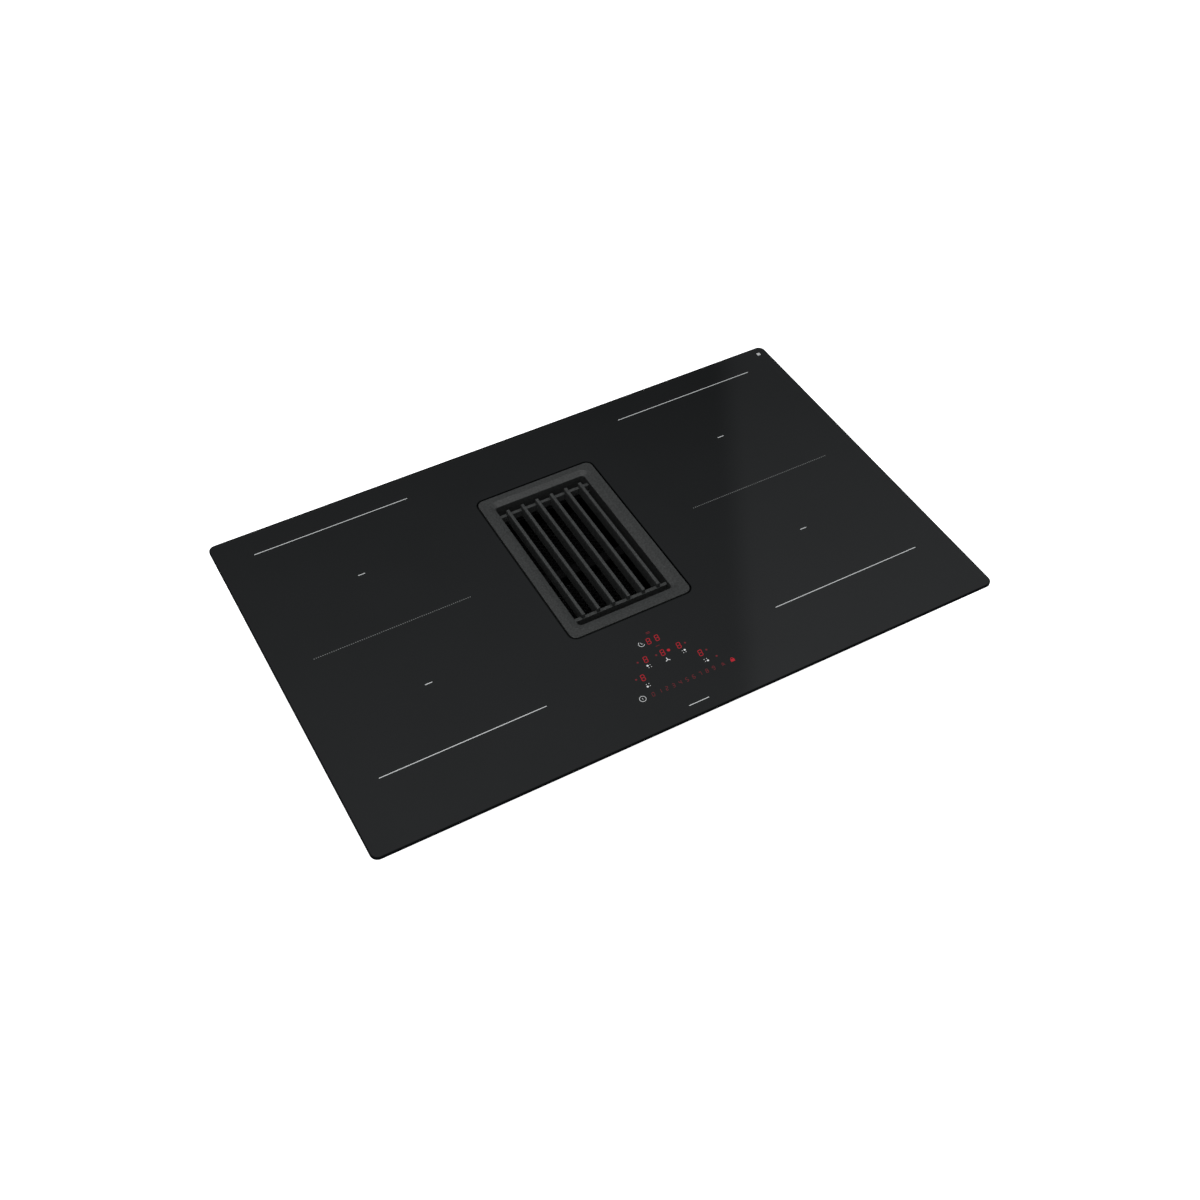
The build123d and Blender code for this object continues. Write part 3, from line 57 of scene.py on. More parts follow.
class Paint:
    """A Principled material with a few chains of procedural nodes."""

    def __init__(self, name, roughness=0.5, metallic=0.0, **sockets):
        self.material = bpy.data.materials.new(name)
        self.material.use_nodes = True
        self.tree = self.material.node_tree
        self.shader = self.tree.nodes["Principled BSDF"]
        self.shader.inputs["Roughness"].default_value = roughness
        self.shader.inputs["Metallic"].default_value = metallic
        for socket, value in sockets.items():
            self.shader.inputs[socket.replace("_", " ")].default_value = value
        self.coords = self.node("ShaderNodeTexCoord").outputs["Object"]
        self.normal = None

    def node(self, kind, **settings):
        made = self.tree.nodes.new(kind)
        for key, value in settings.items():
            setattr(made, key, value)
        return made

    def link(self, source, target):
        self.tree.links.new(source, target)

    def stretch(self, scale):
        """Object coordinates scaled apart along X, Y and Z."""
        mapping = self.node("ShaderNodeMapping")
        mapping.inputs["Scale"].default_value = scale
        self.link(self.coords, mapping.inputs["Vector"])
        return mapping.outputs["Vector"]

    def noise(self, scale, detail=3.0, vector=None):
        texture = self.node("ShaderNodeTexNoise")
        texture.inputs["Scale"].default_value = scale
        texture.inputs["Detail"].default_value = detail
        self.link(vector or self.coords, texture.inputs["Vector"])
        return texture.outputs["Fac"]

    def cells(self, scale, feature="F1", output="Distance", vector=None):
        texture = self.node("ShaderNodeTexVoronoi", feature=feature)
        texture.inputs["Scale"].default_value = scale
        self.link(vector or self.coords, texture.inputs["Vector"])
        return texture.outputs[output]

    def waves(self, scale, direction="X", distortion=0.0):
        texture = self.node("ShaderNodeTexWave", bands_direction=direction)
        texture.inputs["Scale"].default_value = scale
        texture.inputs["Distortion"].default_value = distortion
        self.link(self.coords, texture.inputs["Vector"])
        return texture.outputs["Fac"]

    def remap(self, source, low, high, out_low, out_high):
        node = self.node("ShaderNodeMapRange")
        values = {"From Min": low, "From Max": high, "To Min": out_low, "To Max": out_high}
        for socket, value in values.items():
            node.inputs[socket].default_value = value
        self.link(source, node.inputs["Value"])
        return node.outputs["Result"]

    def math(self, operation, first, second):
        node = self.node("ShaderNodeMath", operation=operation)
        for socket, value in zip(node.inputs, (first, second)):
            if isinstance(value, (int, float)):
                socket.default_value = value
            else:
                self.link(value, socket)
        return node.outputs[0]

    def blend(self, mask, dark, light):
        """Colour that runs from dark to light with a mask; either may be a colour or an output."""
        node = self.node("ShaderNodeMix", data_type="RGBA")
        self.link(mask, node.inputs[0])
        for socket, value in ((node.inputs[6], dark), (node.inputs[7], light)):
            if isinstance(value, tuple):
                socket.default_value = (*value, 1.0)
            else:
                self.link(value, socket)
        return node.outputs[2]

    def soften_edges(self, radius):
        """Rounds the shading of sharp edges, as on moulded or folded parts."""
        bevel = self.node("ShaderNodeBevel", samples=4)
        bevel.inputs["Radius"].default_value = radius
        if self.normal:
            self.link(self.normal, bevel.inputs["Normal"])
        self.normal = bevel.outputs["Normal"]
        return self.normal

    def bump(self, height, depth, strength=1.0):
        node = self.node("ShaderNodeBump")
        node.inputs["Strength"].default_value = strength
        node.inputs["Distance"].default_value = depth
        self.link(height, node.inputs["Height"])
        if self.normal:
            self.link(self.normal, node.inputs["Normal"])
        self.normal = node.outputs["Normal"]

    def colour(self, source):
        self.link(source, self.shader.inputs["Base Color"])

    def roughness(self, source):
        self.link(source, self.shader.inputs["Roughness"])

    def done(self):
        if self.normal:
            self.link(self.normal, self.shader.inputs["Normal"])
        return self.material


def tint(colour, factor):
    return tuple(channel * factor for channel in colour)


# ---------------------------------------------------------------- materials

# Width over which the glass is ground round its outline and its opening
GROUND_RIM = 1.6 * MM
BLACK_PLASTIC = (0.022, 0.0225, 0.024)
COAT_COLOUR = (0.0212, 0.0224, 0.0221)
# Painted shade: a near-black far darker than the parts' own black, standing in for the shade deep in
# the well under the grille
WELL_SHADE_BLACK = (0.0011, 0.0011, 0.0012)
# Brushed metal is stretched across its scratches, so the axis left at 1 is the one they run along
ALONG_Y = (40.0, 1.0, 40.0)


def ceramic_glass():
    """Polished black glass-ceramic: clear gloss on the faces, ground dull edges."""
    paint = Paint("ceramic_glass", IOR=1.5)
    haze = paint.noise(scale=9.0, detail=5.0)
    fine = paint.noise(scale=420.0, detail=2.0)
    paint.colour(paint.blend(haze, (0.0022, 0.0026, 0.0027), (0.0034, 0.0038, 0.0041)))
    rim = paint.node("ShaderNodeBevel", samples=8)
    rim.inputs["Radius"].default_value = GROUND_RIM
    up = paint.node("ShaderNodeSeparateXYZ")
    paint.link(rim.outputs["Normal"], up.inputs[0])
    flat = paint.math("ABSOLUTE", up.outputs["Z"], 0.0)
    face = paint.remap(fine, 0.3, 0.7, 0.035, 0.06)
    edge = paint.remap(flat, 0.2, 0.95, 0.6, 0.0)
    paint.roughness(paint.math("MAXIMUM", face, edge))
    gloss = paint.remap(flat, 0.96, 0.995, 0.0, 0.5)
    paint.link(gloss, paint.shader.inputs["Specular IOR Level"])
    paint.bump(paint.noise(scale=30.0, detail=2.0), depth=0.02 * MM, strength=0.15)
    return paint.done()


def coated(name, colour, roughness=0.5, gloss=0.25):
    """Fine matte powder coat: a pebbled skin with darker specks and slow clouds."""
    paint = Paint(name, Specular_IOR_Level=gloss)
    cloud = paint.noise(scale=26.0, detail=4.0)
    speck = paint.noise(scale=430.0, detail=4.0)
    base = paint.blend(cloud, tint(colour, 0.92), tint(colour, 1.06))
    between = paint.remap(speck, 0.42, 0.58, 0.0, 1.0)
    paint.colour(paint.blend(between, tint(colour, 0.60), base))
    paint.roughness(paint.remap(cloud, 0.3, 0.7, roughness - 0.06, roughness + 0.06))
    paint.soften_edges(radius=0.3 * MM)
    paint.bump(speck, depth=0.1 * MM, strength=0.5)
    return paint.done()


def moulded(name, colour, roughness=0.52, grain=1500.0, gloss=0.42):
    """Injection-moulded plastic with a spark-eroded grain and faint flow marks."""
    paint = Paint(name, Specular_IOR_Level=gloss)
    flow = paint.noise(scale=7.0, detail=5.0, vector=paint.stretch((1.0, 1.0, 3.0)))
    pebble = paint.cells(scale=grain, feature="SMOOTH_F1")
    paint.colour(paint.blend(flow, tint(colour, 0.82), tint(colour, 1.18)))
    paint.roughness(paint.remap(flow, 0.3, 0.7, roughness - 0.07, roughness + 0.07))
    paint.soften_edges(radius=0.7 * MM)
    paint.bump(pebble, depth=0.08 * MM, strength=0.45)
    return paint.done()


def brushed(name, colour, roughness=0.3, along=(1.0, 40.0, 40.0), scale=45.0):
    """Rolled or drawn metal with fine scratches along one direction."""
    paint = Paint(name, metallic=1.0)
    streak = paint.noise(scale=scale, detail=6.0, vector=paint.stretch(along))
    cloud = paint.noise(scale=11.0, detail=3.0)
    paint.colour(paint.blend(cloud, tint(colour, 0.85), tint(colour, 1.1)))
    paint.roughness(paint.remap(streak, 0.3, 0.7, roughness - 0.08, roughness + 0.12))
    paint.soften_edges(radius=0.4 * MM)
    paint.bump(streak, depth=0.03 * MM, strength=0.35)
    return paint.done()


def galvanised():
    """Hot-dip zinc on sheet steel: overlapping crystals of different sheen."""
    paint = Paint("galvanised_sheet", metallic=1.0)
    warp = paint.noise(scale=60.0, detail=3.0)
    spangle = paint.cells(scale=95.0, output="Color")
    grey = paint.node("ShaderNodeRGBToBW")
    paint.link(spangle, grey.inputs[0])
    warp_share = paint.math("MULTIPLY", warp, 0.35)
    spangle_share = paint.math("MULTIPLY", grey.outputs[0], 0.65)
    crystal = paint.math("ADD", warp_share, spangle_share)
    paint.colour(paint.blend(crystal, (0.17, 0.176, 0.182), (0.31, 0.316, 0.323)))
    paint.roughness(paint.remap(crystal, 0.2, 0.8, 0.28, 0.5))
    paint.soften_edges(radius=0.6 * MM)
    paint.bump(crystal, depth=0.03 * MM, strength=0.3)
    return paint.done()


def foam(name, colour):
    """Closed-cell strip with a pitted surface."""
    paint = Paint(name, roughness=0.9)
    pits = paint.cells(scale=1400.0)
    wall = paint.remap(pits, 0.1, 0.6, 0.0, 1.0)
    paint.colour(paint.blend(wall, tint(colour, 1.4), tint(colour, 0.6)))
    paint.bump(pits, depth=0.2 * MM, strength=0.6)
    return paint.done()


def rubber(name, colour):
    """Moulded rubber with a faint pale bloom."""
    paint = Paint(name, roughness=0.7, Specular_IOR_Level=0.3)
    bloom = paint.noise(scale=80.0, detail=4.0)
    paint.colour(paint.blend(bloom, tint(colour, 0.85), tint(colour, 1.25)))
    paint.roughness(paint.remap(bloom, 0.3, 0.7, 0.62, 0.8))
    paint.soften_edges(radius=0.5 * MM)
    paint.bump(paint.noise(scale=1800.0, detail=2.0), depth=0.04 * MM, strength=0.4)
    return paint.done()


def litz_copper():
    """Enamelled strands twisted along each turn."""
    paint = Paint("litz_copper", metallic=0.85)
    strand = paint.waves(scale=420.0, direction="DIAGONAL", distortion=1.5)
    paint.colour(paint.blend(strand, (0.30, 0.11, 0.05), (0.72, 0.32, 0.16)))
    paint.roughness(paint.remap(strand, 0.0, 1.0, 0.5, 0.3))
    paint.bump(strand, depth=0.2 * MM, strength=0.7)
    return paint.done()


def circuit_board():
    """Green solder mask over straight copper tracks."""
    paint = Paint("circuit_board", roughness=0.3, Specular_IOR_Level=0.5)
    tracks = paint.node("ShaderNodeTexBrick")
    tracks.inputs["Scale"].default_value = 60.0
    tracks.inputs["Mortar Size"].default_value = 0.06
    paint.link(paint.coords, tracks.inputs["Vector"])
    paint.colour(paint.blend(tracks.outputs["Fac"], (0.015, 0.11, 0.05), (0.05, 0.22, 0.09)))
    paint.roughness(paint.remap(paint.noise(scale=40.0), 0.3, 0.7, 0.25, 0.4))
    paint.bump(tracks.outputs["Fac"], depth=0.04 * MM, strength=0.6)
    return paint.done()


def fibre_mat():
    """Needled ceramic fibre."""
    paint = Paint("fibre_mat", roughness=0.95)
    fibre = paint.noise(scale=900.0, detail=6.0, vector=paint.stretch((1.0, 6.0, 1.0)))
    paint.colour(paint.blend(fibre, (0.62, 0.59, 0.52), (0.86, 0.84, 0.79)))
    paint.bump(fibre, depth=0.3 * MM, strength=0.6)
    return paint.done()


def sintered(name, colour):
    """Pressed and fired ferrite, dull and granular."""
    paint = Paint(name, roughness=0.75)
    grain = paint.cells(scale=1600.0)
    paint.colour(paint.blend(grain, tint(colour, 0.7), tint(colour, 1.4)))
    paint.bump(grain, depth=0.1 * MM, strength=0.5)
    return paint.done()


def laminated(name, colour):
    """Stacked iron sheets, seen as fine lines across the motor's axis."""
    paint = Paint(name, metallic=0.9)
    sheets = paint.waves(scale=320.0, direction="X")
    paint.colour(paint.blend(sheets, tint(colour, 0.6), colour))
    paint.roughness(paint.remap(sheets, 0.0, 1.0, 0.55, 0.35))
    paint.bump(sheets, depth=0.2 * MM, strength=0.5)
    return paint.done()


def enamel(name, colour):
    """Screen-printed enamel fired on to the glass."""
    paint = Paint(name, roughness=0.4)
    dots = paint.noise(scale=3000.0, detail=2.0)
    paint.colour(paint.blend(dots, tint(colour, 0.8), tint(colour, 1.1)))
    paint.bump(dots, depth=0.01 * MM, strength=0.3)
    return paint.done()


def lit(name, colour, strength):
    """Lit mark of a display, with a slightly uneven glow."""
    paint = Paint(name, roughness=0.25)
    glow = paint.noise(scale=900.0, detail=2.0)
    lights = paint.blend(glow, tint(colour, 0.75), colour)
    paint.colour(paint.blend(glow, tint(colour, 0.05), tint(colour, 0.08)))
    paint.link(lights, paint.shader.inputs["Emission Color"])
    paint.shader.inputs["Emission Strength"].default_value = strength
    return paint.done()


glass = ceramic_glass()
trim_coat = coated("trim_coating", COAT_COLOUR, roughness=0.55)
grille_coat = coated("grille_coating", tint(COAT_COLOUR, 1.3))
housing_black = moulded("housing_polypropylene", BLACK_PLASTIC)
duct_black = moulded("duct_plastic", tint(BLACK_PLASTIC, 1.2), roughness=0.45, grain=1900.0)
# The shaft and the filter frame are darkened to the well's painted shade, below their real black
shaft_painted_shade = moulded("shaft_plastic_painted_shade", tint(WELL_SHADE_BLACK, 2.5), roughness=0.8, gloss=0.03)
basin_grey = moulded("basin_plastic", (0.05, 0.052, 0.055), roughness=0.48)
filter_painted_shade = moulded("filter_plastic", tint(WELL_SHADE_BLACK, 1.6), roughness=0.7, gloss=0.04)
wheel_grey = moulded("impeller_plastic", (0.10, 0.10, 0.105), roughness=0.5)
flap_grey = moulded("flap_plastic", (0.20, 0.205, 0.21), roughness=0.42)
fan_black = moulded("fan_plastic", (0.03, 0.03, 0.031), roughness=0.4)
nylon = moulded("nylon", (0.62, 0.60, 0.55), roughness=0.45)
terminal_pale = moulded("terminal_plastic", (0.58, 0.57, 0.53), roughness=0.4)
sleeve = moulded("component_sleeve", (0.02, 0.022, 0.04), roughness=0.3)
window = moulded("display_window", (0.03, 0.006, 0.006), roughness=0.2)
tray_zinc = galvanised()
frame_metal = brushed("mill_aluminium", (0.30, 0.30, 0.305), roughness=0.38)
zinc = brushed("bright_zinc", (0.44, 0.44, 0.455), roughness=0.25, along=(30.0, 30.0, 1.0), scale=90.0)
clamp_zinc = brushed("clamp_zinc", (0.36, 0.36, 0.345), roughness=0.35, along=ALONG_Y)
sheet_metal = brushed("plain_aluminium", (0.75, 0.75, 0.76), roughness=0.32)
fin_metal = brushed("extruded_aluminium", (0.66, 0.66, 0.67), roughness=0.38, along=ALONG_Y)
# The filter mesh is darkened to the well's painted shade, below its real black coating
mesh_painted_shade = coated("mesh_coating_painted_shade", tint(WELL_SHADE_BLACK, 1.8), roughness=0.7, gloss=0.03)
bearing_metal = brushed("ground_steel", (0.68, 0.68, 0.69), roughness=0.15, along=(1.0, 60.0, 60.0))
motor_paint = moulded("motor_paint", (0.11, 0.115, 0.12), roughness=0.42, grain=900.0)
iron = laminated("laminated_iron", (0.35, 0.35, 0.36))
copper = litz_copper()
board_green = circuit_board()
mat_white = fibre_mat()
ferrite = sintered("ferrite", (0.05, 0.05, 0.055))
seal_foam = foam("foam_strip", (0.02, 0.02, 0.02))
pad_foam = foam("pad_foam", (0.09, 0.09, 0.09))
silicone = rubber("silicone_seal", (0.012, 0.012, 0.012))
bush_rubber = rubber("bush_rubber", (0.02, 0.02, 0.02))
sensor_white = rubber("sensor_silicone", (0.60, 0.60, 0.58))
print_white = enamel("print_white", (0.40, 0.41, 0.41))
print_dim = enamel("print_dim", (0.105, 0.108, 0.108))
segment_red = lit("segment_red", (0.46, 0.003, 0.016), strength=0.9)
segment_dim = lit("segment_dim", (0.17, 0.006, 0.014), strength=0.8)
symbol_white = lit("symbol_white", (0.84, 0.86, 0.87), strength=0.8)

FINISH = {
    "glass_top": glass,
    "vent_trim": trim_coat,
    "grille_slats": grille_coat,
    "grille_crossbars": grille_coat,
    "perimeter_seal": seal_foam,
    "shaft_seal": silicone,
    "glass_frame": frame_metal,
    "casing_tray": tray_zinc,
    "case_screws": zinc,
    "collector_screws": zinc,
    "clamp_screws": zinc,
    "intake_shaft": shaft_painted_shade,
    "collector_housing": housing_black,
    "drip_tray": basin_grey,
    "filter_frame": filter_painted_shade,
    "filter_mesh": mesh_painted_shade,
    "blower_scroll_inlet": housing_black,
    "blower_scroll_motor": housing_black,
    "impeller": wheel_grey,
    "motor_case": motor_paint,
    "motor_mounts": bush_rubber,
    "motor_bearings": bearing_metal,
    "motor_stator": iron,
    "motor_rotor": iron,
    "outlet_diffuser": duct_black,
    "outlet_spigot": duct_black,
    "backdraft_flap": flap_grey,
    "flap_pin": bearing_metal,
    "coil_carriers": nylon,
    "ferrite_bars": ferrite,
    "temperature_sensors": sensor_white,
    "insulation_mats": mat_white,
    "plate_posts": nylon,
    "board_components": sleeve,
    "control_holder": nylon,
    "control_board": board_green,
    "digit_displays": window,
    "touch_pads": pad_foam,
    "terminal_box": housing_black,
    "terminal_cover": housing_black,
    "terminal_block": terminal_pale,
    "cable_gland": duct_black,
}
STEMS = {
    "coil_plate": sheet_metal,
    "coil_": copper,
    "power_board": board_green,
    "heat_sink": fin_metal,
    "cooling_fan": fan_black,
    "clamp_": clamp_zinc,
}


def finish_nodes():
    """Gives every CAD node its material."""
    for name, node in NODES.items():
        material = FINISH.get(name)
        if material is None:
            material = next(found for stem, found in STEMS.items() if name.startswith(stem))
        node.data.materials.clear()
        node.data.materials.append(material)


finish_nodes()


# ---------------------------------------------------------------- print and lights on the glass

FILM = 0.06 * MM
LIFT = 0.01 * MM


def prism(bm, outline, z0, z1):
    """A closed prism over a flat outline given in metres."""
    low = [bm.verts.new((x, y, z0)) for x, y in outline]
    high = [bm.verts.new((x, y, z1)) for x, y in outline]
    count = len(outline)
    bm.faces.new(list(reversed(low)))
    bm.faces.new(high)
    for i in range(count):
        j = (i + 1) % count
        bm.faces.new((low[i], low[j], high[j], high[i]))


def piece(name, bm, material, body):
    """Turns a bmesh into a piece that rides on a body."""
    bmesh.ops.recalc_face_normals(bm, faces=bm.faces)
    mesh = bpy.data.meshes.new(name)
    bm.to_mesh(mesh)
    bm.free()
    mesh.materials.append(material)
    made = bpy.data.objects.new(name, mesh)
    bpy.context.scene.collection.objects.link(made)
    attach(made, body)
    return made


def printed(name, outlines, material):
    """A thin film on the glass for each outline; outlines are in millimetres."""
    bm = bmesh.new()
    low = GLASS_TOP + LIFT
    for outline in outlines:
        prism(bm, [(x * MM, y * MM) for x, y in outline], low, low + FILM)
    return piece(name, bm, material, HOB)


def disc(x, y, radius, sides=20):
    step = math.tau / sides
    return [(x + radius * math.cos(i * step), y + radius * math.sin(i * step)) for i in range(sides)]


def bar(x0, y0, x1, y1, width, rounded=4):
    """A stroke with round ends from one point to another."""
    angle = math.atan2(y1 - y0, x1 - x0)
    points = []
    for x, y, start in ((x1, y1, angle - math.pi / 2), (x0, y0, angle + math.pi / 2)):
        for i in range(rounded + 1):
            turn = start + math.pi * i / rounded
            points.append((x + width / 2 * math.cos(turn), y + width / 2 * math.sin(turn)))
    return points


def arc_strokes(x, y, radius, width, start, end, count):
    """An arc drawn as short flat segments that meet edge to edge; angles in degrees."""
    inner, outer = radius - width / 2, radius + width / 2
    outlines = []
    for i in range(count):
        a = math.radians(start + (end - start) * i / count)
        b = math.radians(start + (end - start) * (i + 1) / count)
        ring = ((inner, a), (outer, a), (outer, b), (inner, b))
        outlines.append([(x + r * math.cos(turn), y + r * math.sin(turn)) for r, turn in ring])
    return outlines


# Cooking zones, in millimetres from the middle of the glass, alike on both sides: a line at the rear
# and at the front, a row of dots between the two zones, and a mark at each centre
ZONE_X, ZONE_HALF = 262.0, 104.4
LINE_YS, LINE_W = (220.0, -166.0), 1.05
DOTS_Y, DOT_R, DOT_PITCH = 27.0, 0.72, 2.8
CENTRE_YS, CENTRE_HALF, CENTRE_W = (125.0, -71.0), 4.2, 1.1


def zone_print():
    """Prints the cooking zones on the glass."""
    lines, dots, marks = [], [], []
    count = int(2 * ZONE_HALF / DOT_PITCH)
    for middle in (-ZONE_X, ZONE_X):
        x0, x1 = middle - ZONE_HALF, middle + ZONE_HALF
        lines += [bar(x0, y, x1, y, LINE_W) for y in LINE_YS]
        x2, x3 = middle - CENTRE_HALF, middle + CENTRE_HALF
        marks += [bar(x2, y, x3, y, CENTRE_W) for y in CENTRE_YS]
        dots += [disc(x0 + DOT_PITCH * (i + 0.5), DOTS_Y, DOT_R, 10) for i in range(count)]
    printed("zone_lines", lines, print_white)
    printed("zone_dots", dots, print_dim)
    printed("zone_centre_marks", marks, print_white)


zone_print()

# Seven-segment digits: the segments a to g that each one lights, how far a digit leans, and the gap
# between two segments as a share of the stroke
SEGMENTS = {
    "0": "abcdef", "1": "bc", "2": "abged", "3": "abgcd", "4": "fgbc",
    "5": "afgcd", "6": "afgedc", "7": "abc", "8": "abcdefg", "9": "abcdfg",
}
SLANT = math.tan(math.radians(8))
SEGMENT_GAP = 0.18


def digit(text, x, y, width, height, stroke):
    """Outlines of one seven-segment figure centred on x, y, leaning a little to the right."""
    half_w, half_h, gap = width / 2, height / 2, stroke * SEGMENT_GAP
    ends = {
        "a": (-half_w, half_h, half_w, half_h),
        "b": (half_w, 0, half_w, half_h),
        "c": (half_w, -half_h, half_w, 0),
        "d": (-half_w, -half_h, half_w, -half_h),
        "e": (-half_w, -half_h, -half_w, 0),
        "f": (-half_w, 0, -half_w, half_h),
        "g": (-half_w, 0, half_w, 0),
    }
    outlines = []
    for key in SEGMENTS[text]:
        x0, y0, x1, y1 = ends[key]
        across = (stroke / 2, 0) if x0 == x1 else (0, stroke / 2)
        along = (0, 1) if x0 == x1 else (1, 0)
        tip, neck = gap, gap + stroke / 2
        corners = [
            (x0 + along[0] * tip, y0 + along[1] * tip),
            (x0 + along[0] * neck + across[0], y0 + along[1] * neck + across[1]),
            (x1 - along[0] * neck + across[0], y1 - along[1] * neck + across[1]),
            (x1 - along[0] * tip, y1 - along[1] * tip),
            (x1 - along[0] * neck - across[0], y1 - along[1] * neck - across[1]),
            (x0 + along[0] * neck - across[0], y0 + along[1] * neck - across[1]),
        ]
        outlines.append([(x + px + py * SLANT, y + py) for px, py in corners])
    return outlines


# Control field, in millimetres from the middle of the glass
TIMER = [(0.3 + side * 5.7, -138.4) for side in (-1, 1)]
ZONE_LEVELS = (22.8, -161.0), (39.3, -183.2)
LEVELS = [(0.2, -161.4)] + [(side * x, y) for side in (-1, 1) for x, y in ZONE_LEVELS]
DIGIT_W, DIGIT_H, DIGIT_STROKE = 4.4, 8.4, 0.85
KEY_Y, KEY_X0, KEY_PITCH = -210.0, -41.0, 9.1
KEY_W, KEY_H, KEY_STROKE = 2.8, 5.2, 0.65
DIM_DOTS = [
    (-33.3, -160.6), (-8.4, -161.2), (31.4, -161.0), (-47.8, -182.0), (48.0, -182.4), (53.6, -196.3),
]
DIM_DOT_R, BRIGHT_DOT, BRIGHT_DOT_R = 1.3, (8.4, -161.4), 2.0
DASH_YS, DASH_X0, DASH_X1, DASH_W = (-127.4, -125.6, -149.4), -1.8, 2.8, 0.8
# The boost key is two chevrons, one above the other, after the last figure of the slider
BOOST_X, CHEVRON_LIFTS = KEY_X0 + 10.4 * KEY_PITCH, (-1.2, 1.0)
CHEVRON_HALF, CHEVRON_FOOT, CHEVRON_TIP, CHEVRON_W = 1.6, -1.2, 0.6, 0.7
LOCK_X, LOCK_HALF, LOCK_LOW, LOCK_HIGH, LOCK_LEAN = 66.7, 2.6, -212.6, -208.8, 0.3
SHACKLE_SHIFT, SHACKLE_Y, SHACKLE_R, SHACKLE_W = 0.4, -208.6, 1.6, 0.7

POWER, POWER_R, POWER_LOW, POWER_HIGH = (-55.2, -210.0), 3.9, -1.0, 1.2
CLOCK, CLOCK_R, CLOCK_START, CLOCK_END = (-15.2, -138.4), 3.6, 110, 335
MINUTE_HAND, HOUR_HAND, HAND_W, SYMBOL_W = 2.3, 1.8, 0.4, 0.5
FAN, FAN_HUB_R, FAN_BLADE_IN, FAN_BLADE_OUT, FAN_BLADE_W = (0.0, -173.4), 0.8, 1.1, 2.9, 0.9
# Each zone key is a map of four dots: the bright one, then the way to the other three
ZONE_KEYS = [((side * 25.4, -170.2), (-side, -1)) for side in (-1, 1)]
ZONE_KEYS += [((side * 41.0, -197.2), (-side, 1)) for side in (-1, 1)]
MAP_PITCH, MAP_BRIGHT_R, MAP_DIM_R = 3.3, 1.3, 0.5

# Plain print away from the controls; the square's print is given a glow, painted light
FRONT_DASH_HALF, FRONT_DASH_Y, FRONT_DASH_W = 13.0, -244.0, 1.0
SQUARE_X, SQUARE_Y, SQUARE_HALF, SQUARE_W, SQUARE_DOT_R = 401.7, 245.9, 1.9, 0.8, 0.9
# The upright sides of the square stop short of the level ones by this much
SQUARE_NECK = 0.9


def display_lights():
    """Lit figures and marks of the touch display, the boost key and the lock."""
    bright, dim = [], []
    for x, y in TIMER + LEVELS:
        bright += digit("8", x, y, DIGIT_W, DIGIT_H, DIGIT_STROKE)
    bright.append(disc(*BRIGHT_DOT, BRIGHT_DOT_R))
    for i in range(10):
        dim += digit(str(i), KEY_X0 + i * KEY_PITCH, KEY_Y, KEY_W, KEY_H, KEY_STROKE)
    dim += [disc(x, y, DIM_DOT_R, 12) for x, y in DIM_DOTS]
    dim += [bar(DASH_X0, y, DASH_X1, y, DASH_W) for y in DASH_YS]
    for lift in CHEVRON_LIFTS:
        foot, tip = KEY_Y + lift + CHEVRON_FOOT, KEY_Y + lift + CHEVRON_TIP
        dim.append(bar(BOOST_X - CHEVRON_HALF, foot, BOOST_X, tip, CHEVRON_W))
        dim.append(bar(BOOST_X, tip, BOOST_X + CHEVRON_HALF, foot, CHEVRON_W))
    left, right = LOCK_X - LOCK_HALF, LOCK_X + LOCK_HALF
    top = [(right + LOCK_LEAN, LOCK_HIGH), (left + LOCK_LEAN, LOCK_HIGH)]
    bright.append([(left, LOCK_LOW), (right, LOCK_LOW)] + top)
    bright += arc_strokes(LOCK_X + SHACKLE_SHIFT, SHACKLE_Y, SHACKLE_R, SHACKLE_W, 0, 180, 8)
    printed("display_digits", bright, segment_red)
    printed("display_marks", dim, segment_dim)


def key_symbols():
    """Pale key symbols: power, clock, extractor and the four zones."""
    strokes = []
    x, y = POWER
    strokes += arc_strokes(x, y, POWER_R, SYMBOL_W, 0, 360, 28)
    strokes.append(bar(x, y + POWER_LOW, x, y + POWER_HIGH, SYMBOL_W))
    x, y = CLOCK
    strokes += arc_strokes(x, y, CLOCK_R, SYMBOL_W, CLOCK_START, CLOCK_END, 20)
    strokes.append(bar(x, y, x, y + MINUTE_HAND, HAND_W))
    strokes.append(bar(x, y, x + HOUR_HAND, y, HAND_W))
    x, y = FAN
    strokes.append(disc(x, y, FAN_HUB_R, 12))
    for i in range(3):
        turn = math.radians(90 + 120 * i)
        way_x, way_y = math.cos(turn), math.sin(turn)
        ends = [(x + reach * way_x, y + reach * way_y) for reach in (FAN_BLADE_IN, FAN_BLADE_OUT)]
        strokes.append(bar(*ends[0], *ends[1], FAN_BLADE_W))
    for (x, y), (way_x, way_y) in ZONE_KEYS:
        strokes.append(disc(x, y, MAP_BRIGHT_R, 16))
        for i, j in ((1, 0), (0, 1), (1, 1)):
            strokes.append(disc(x + i * way_x * MAP_PITCH, y + j * way_y * MAP_PITCH, MAP_DIM_R, 10))
    printed("key_symbols", strokes, symbol_white)


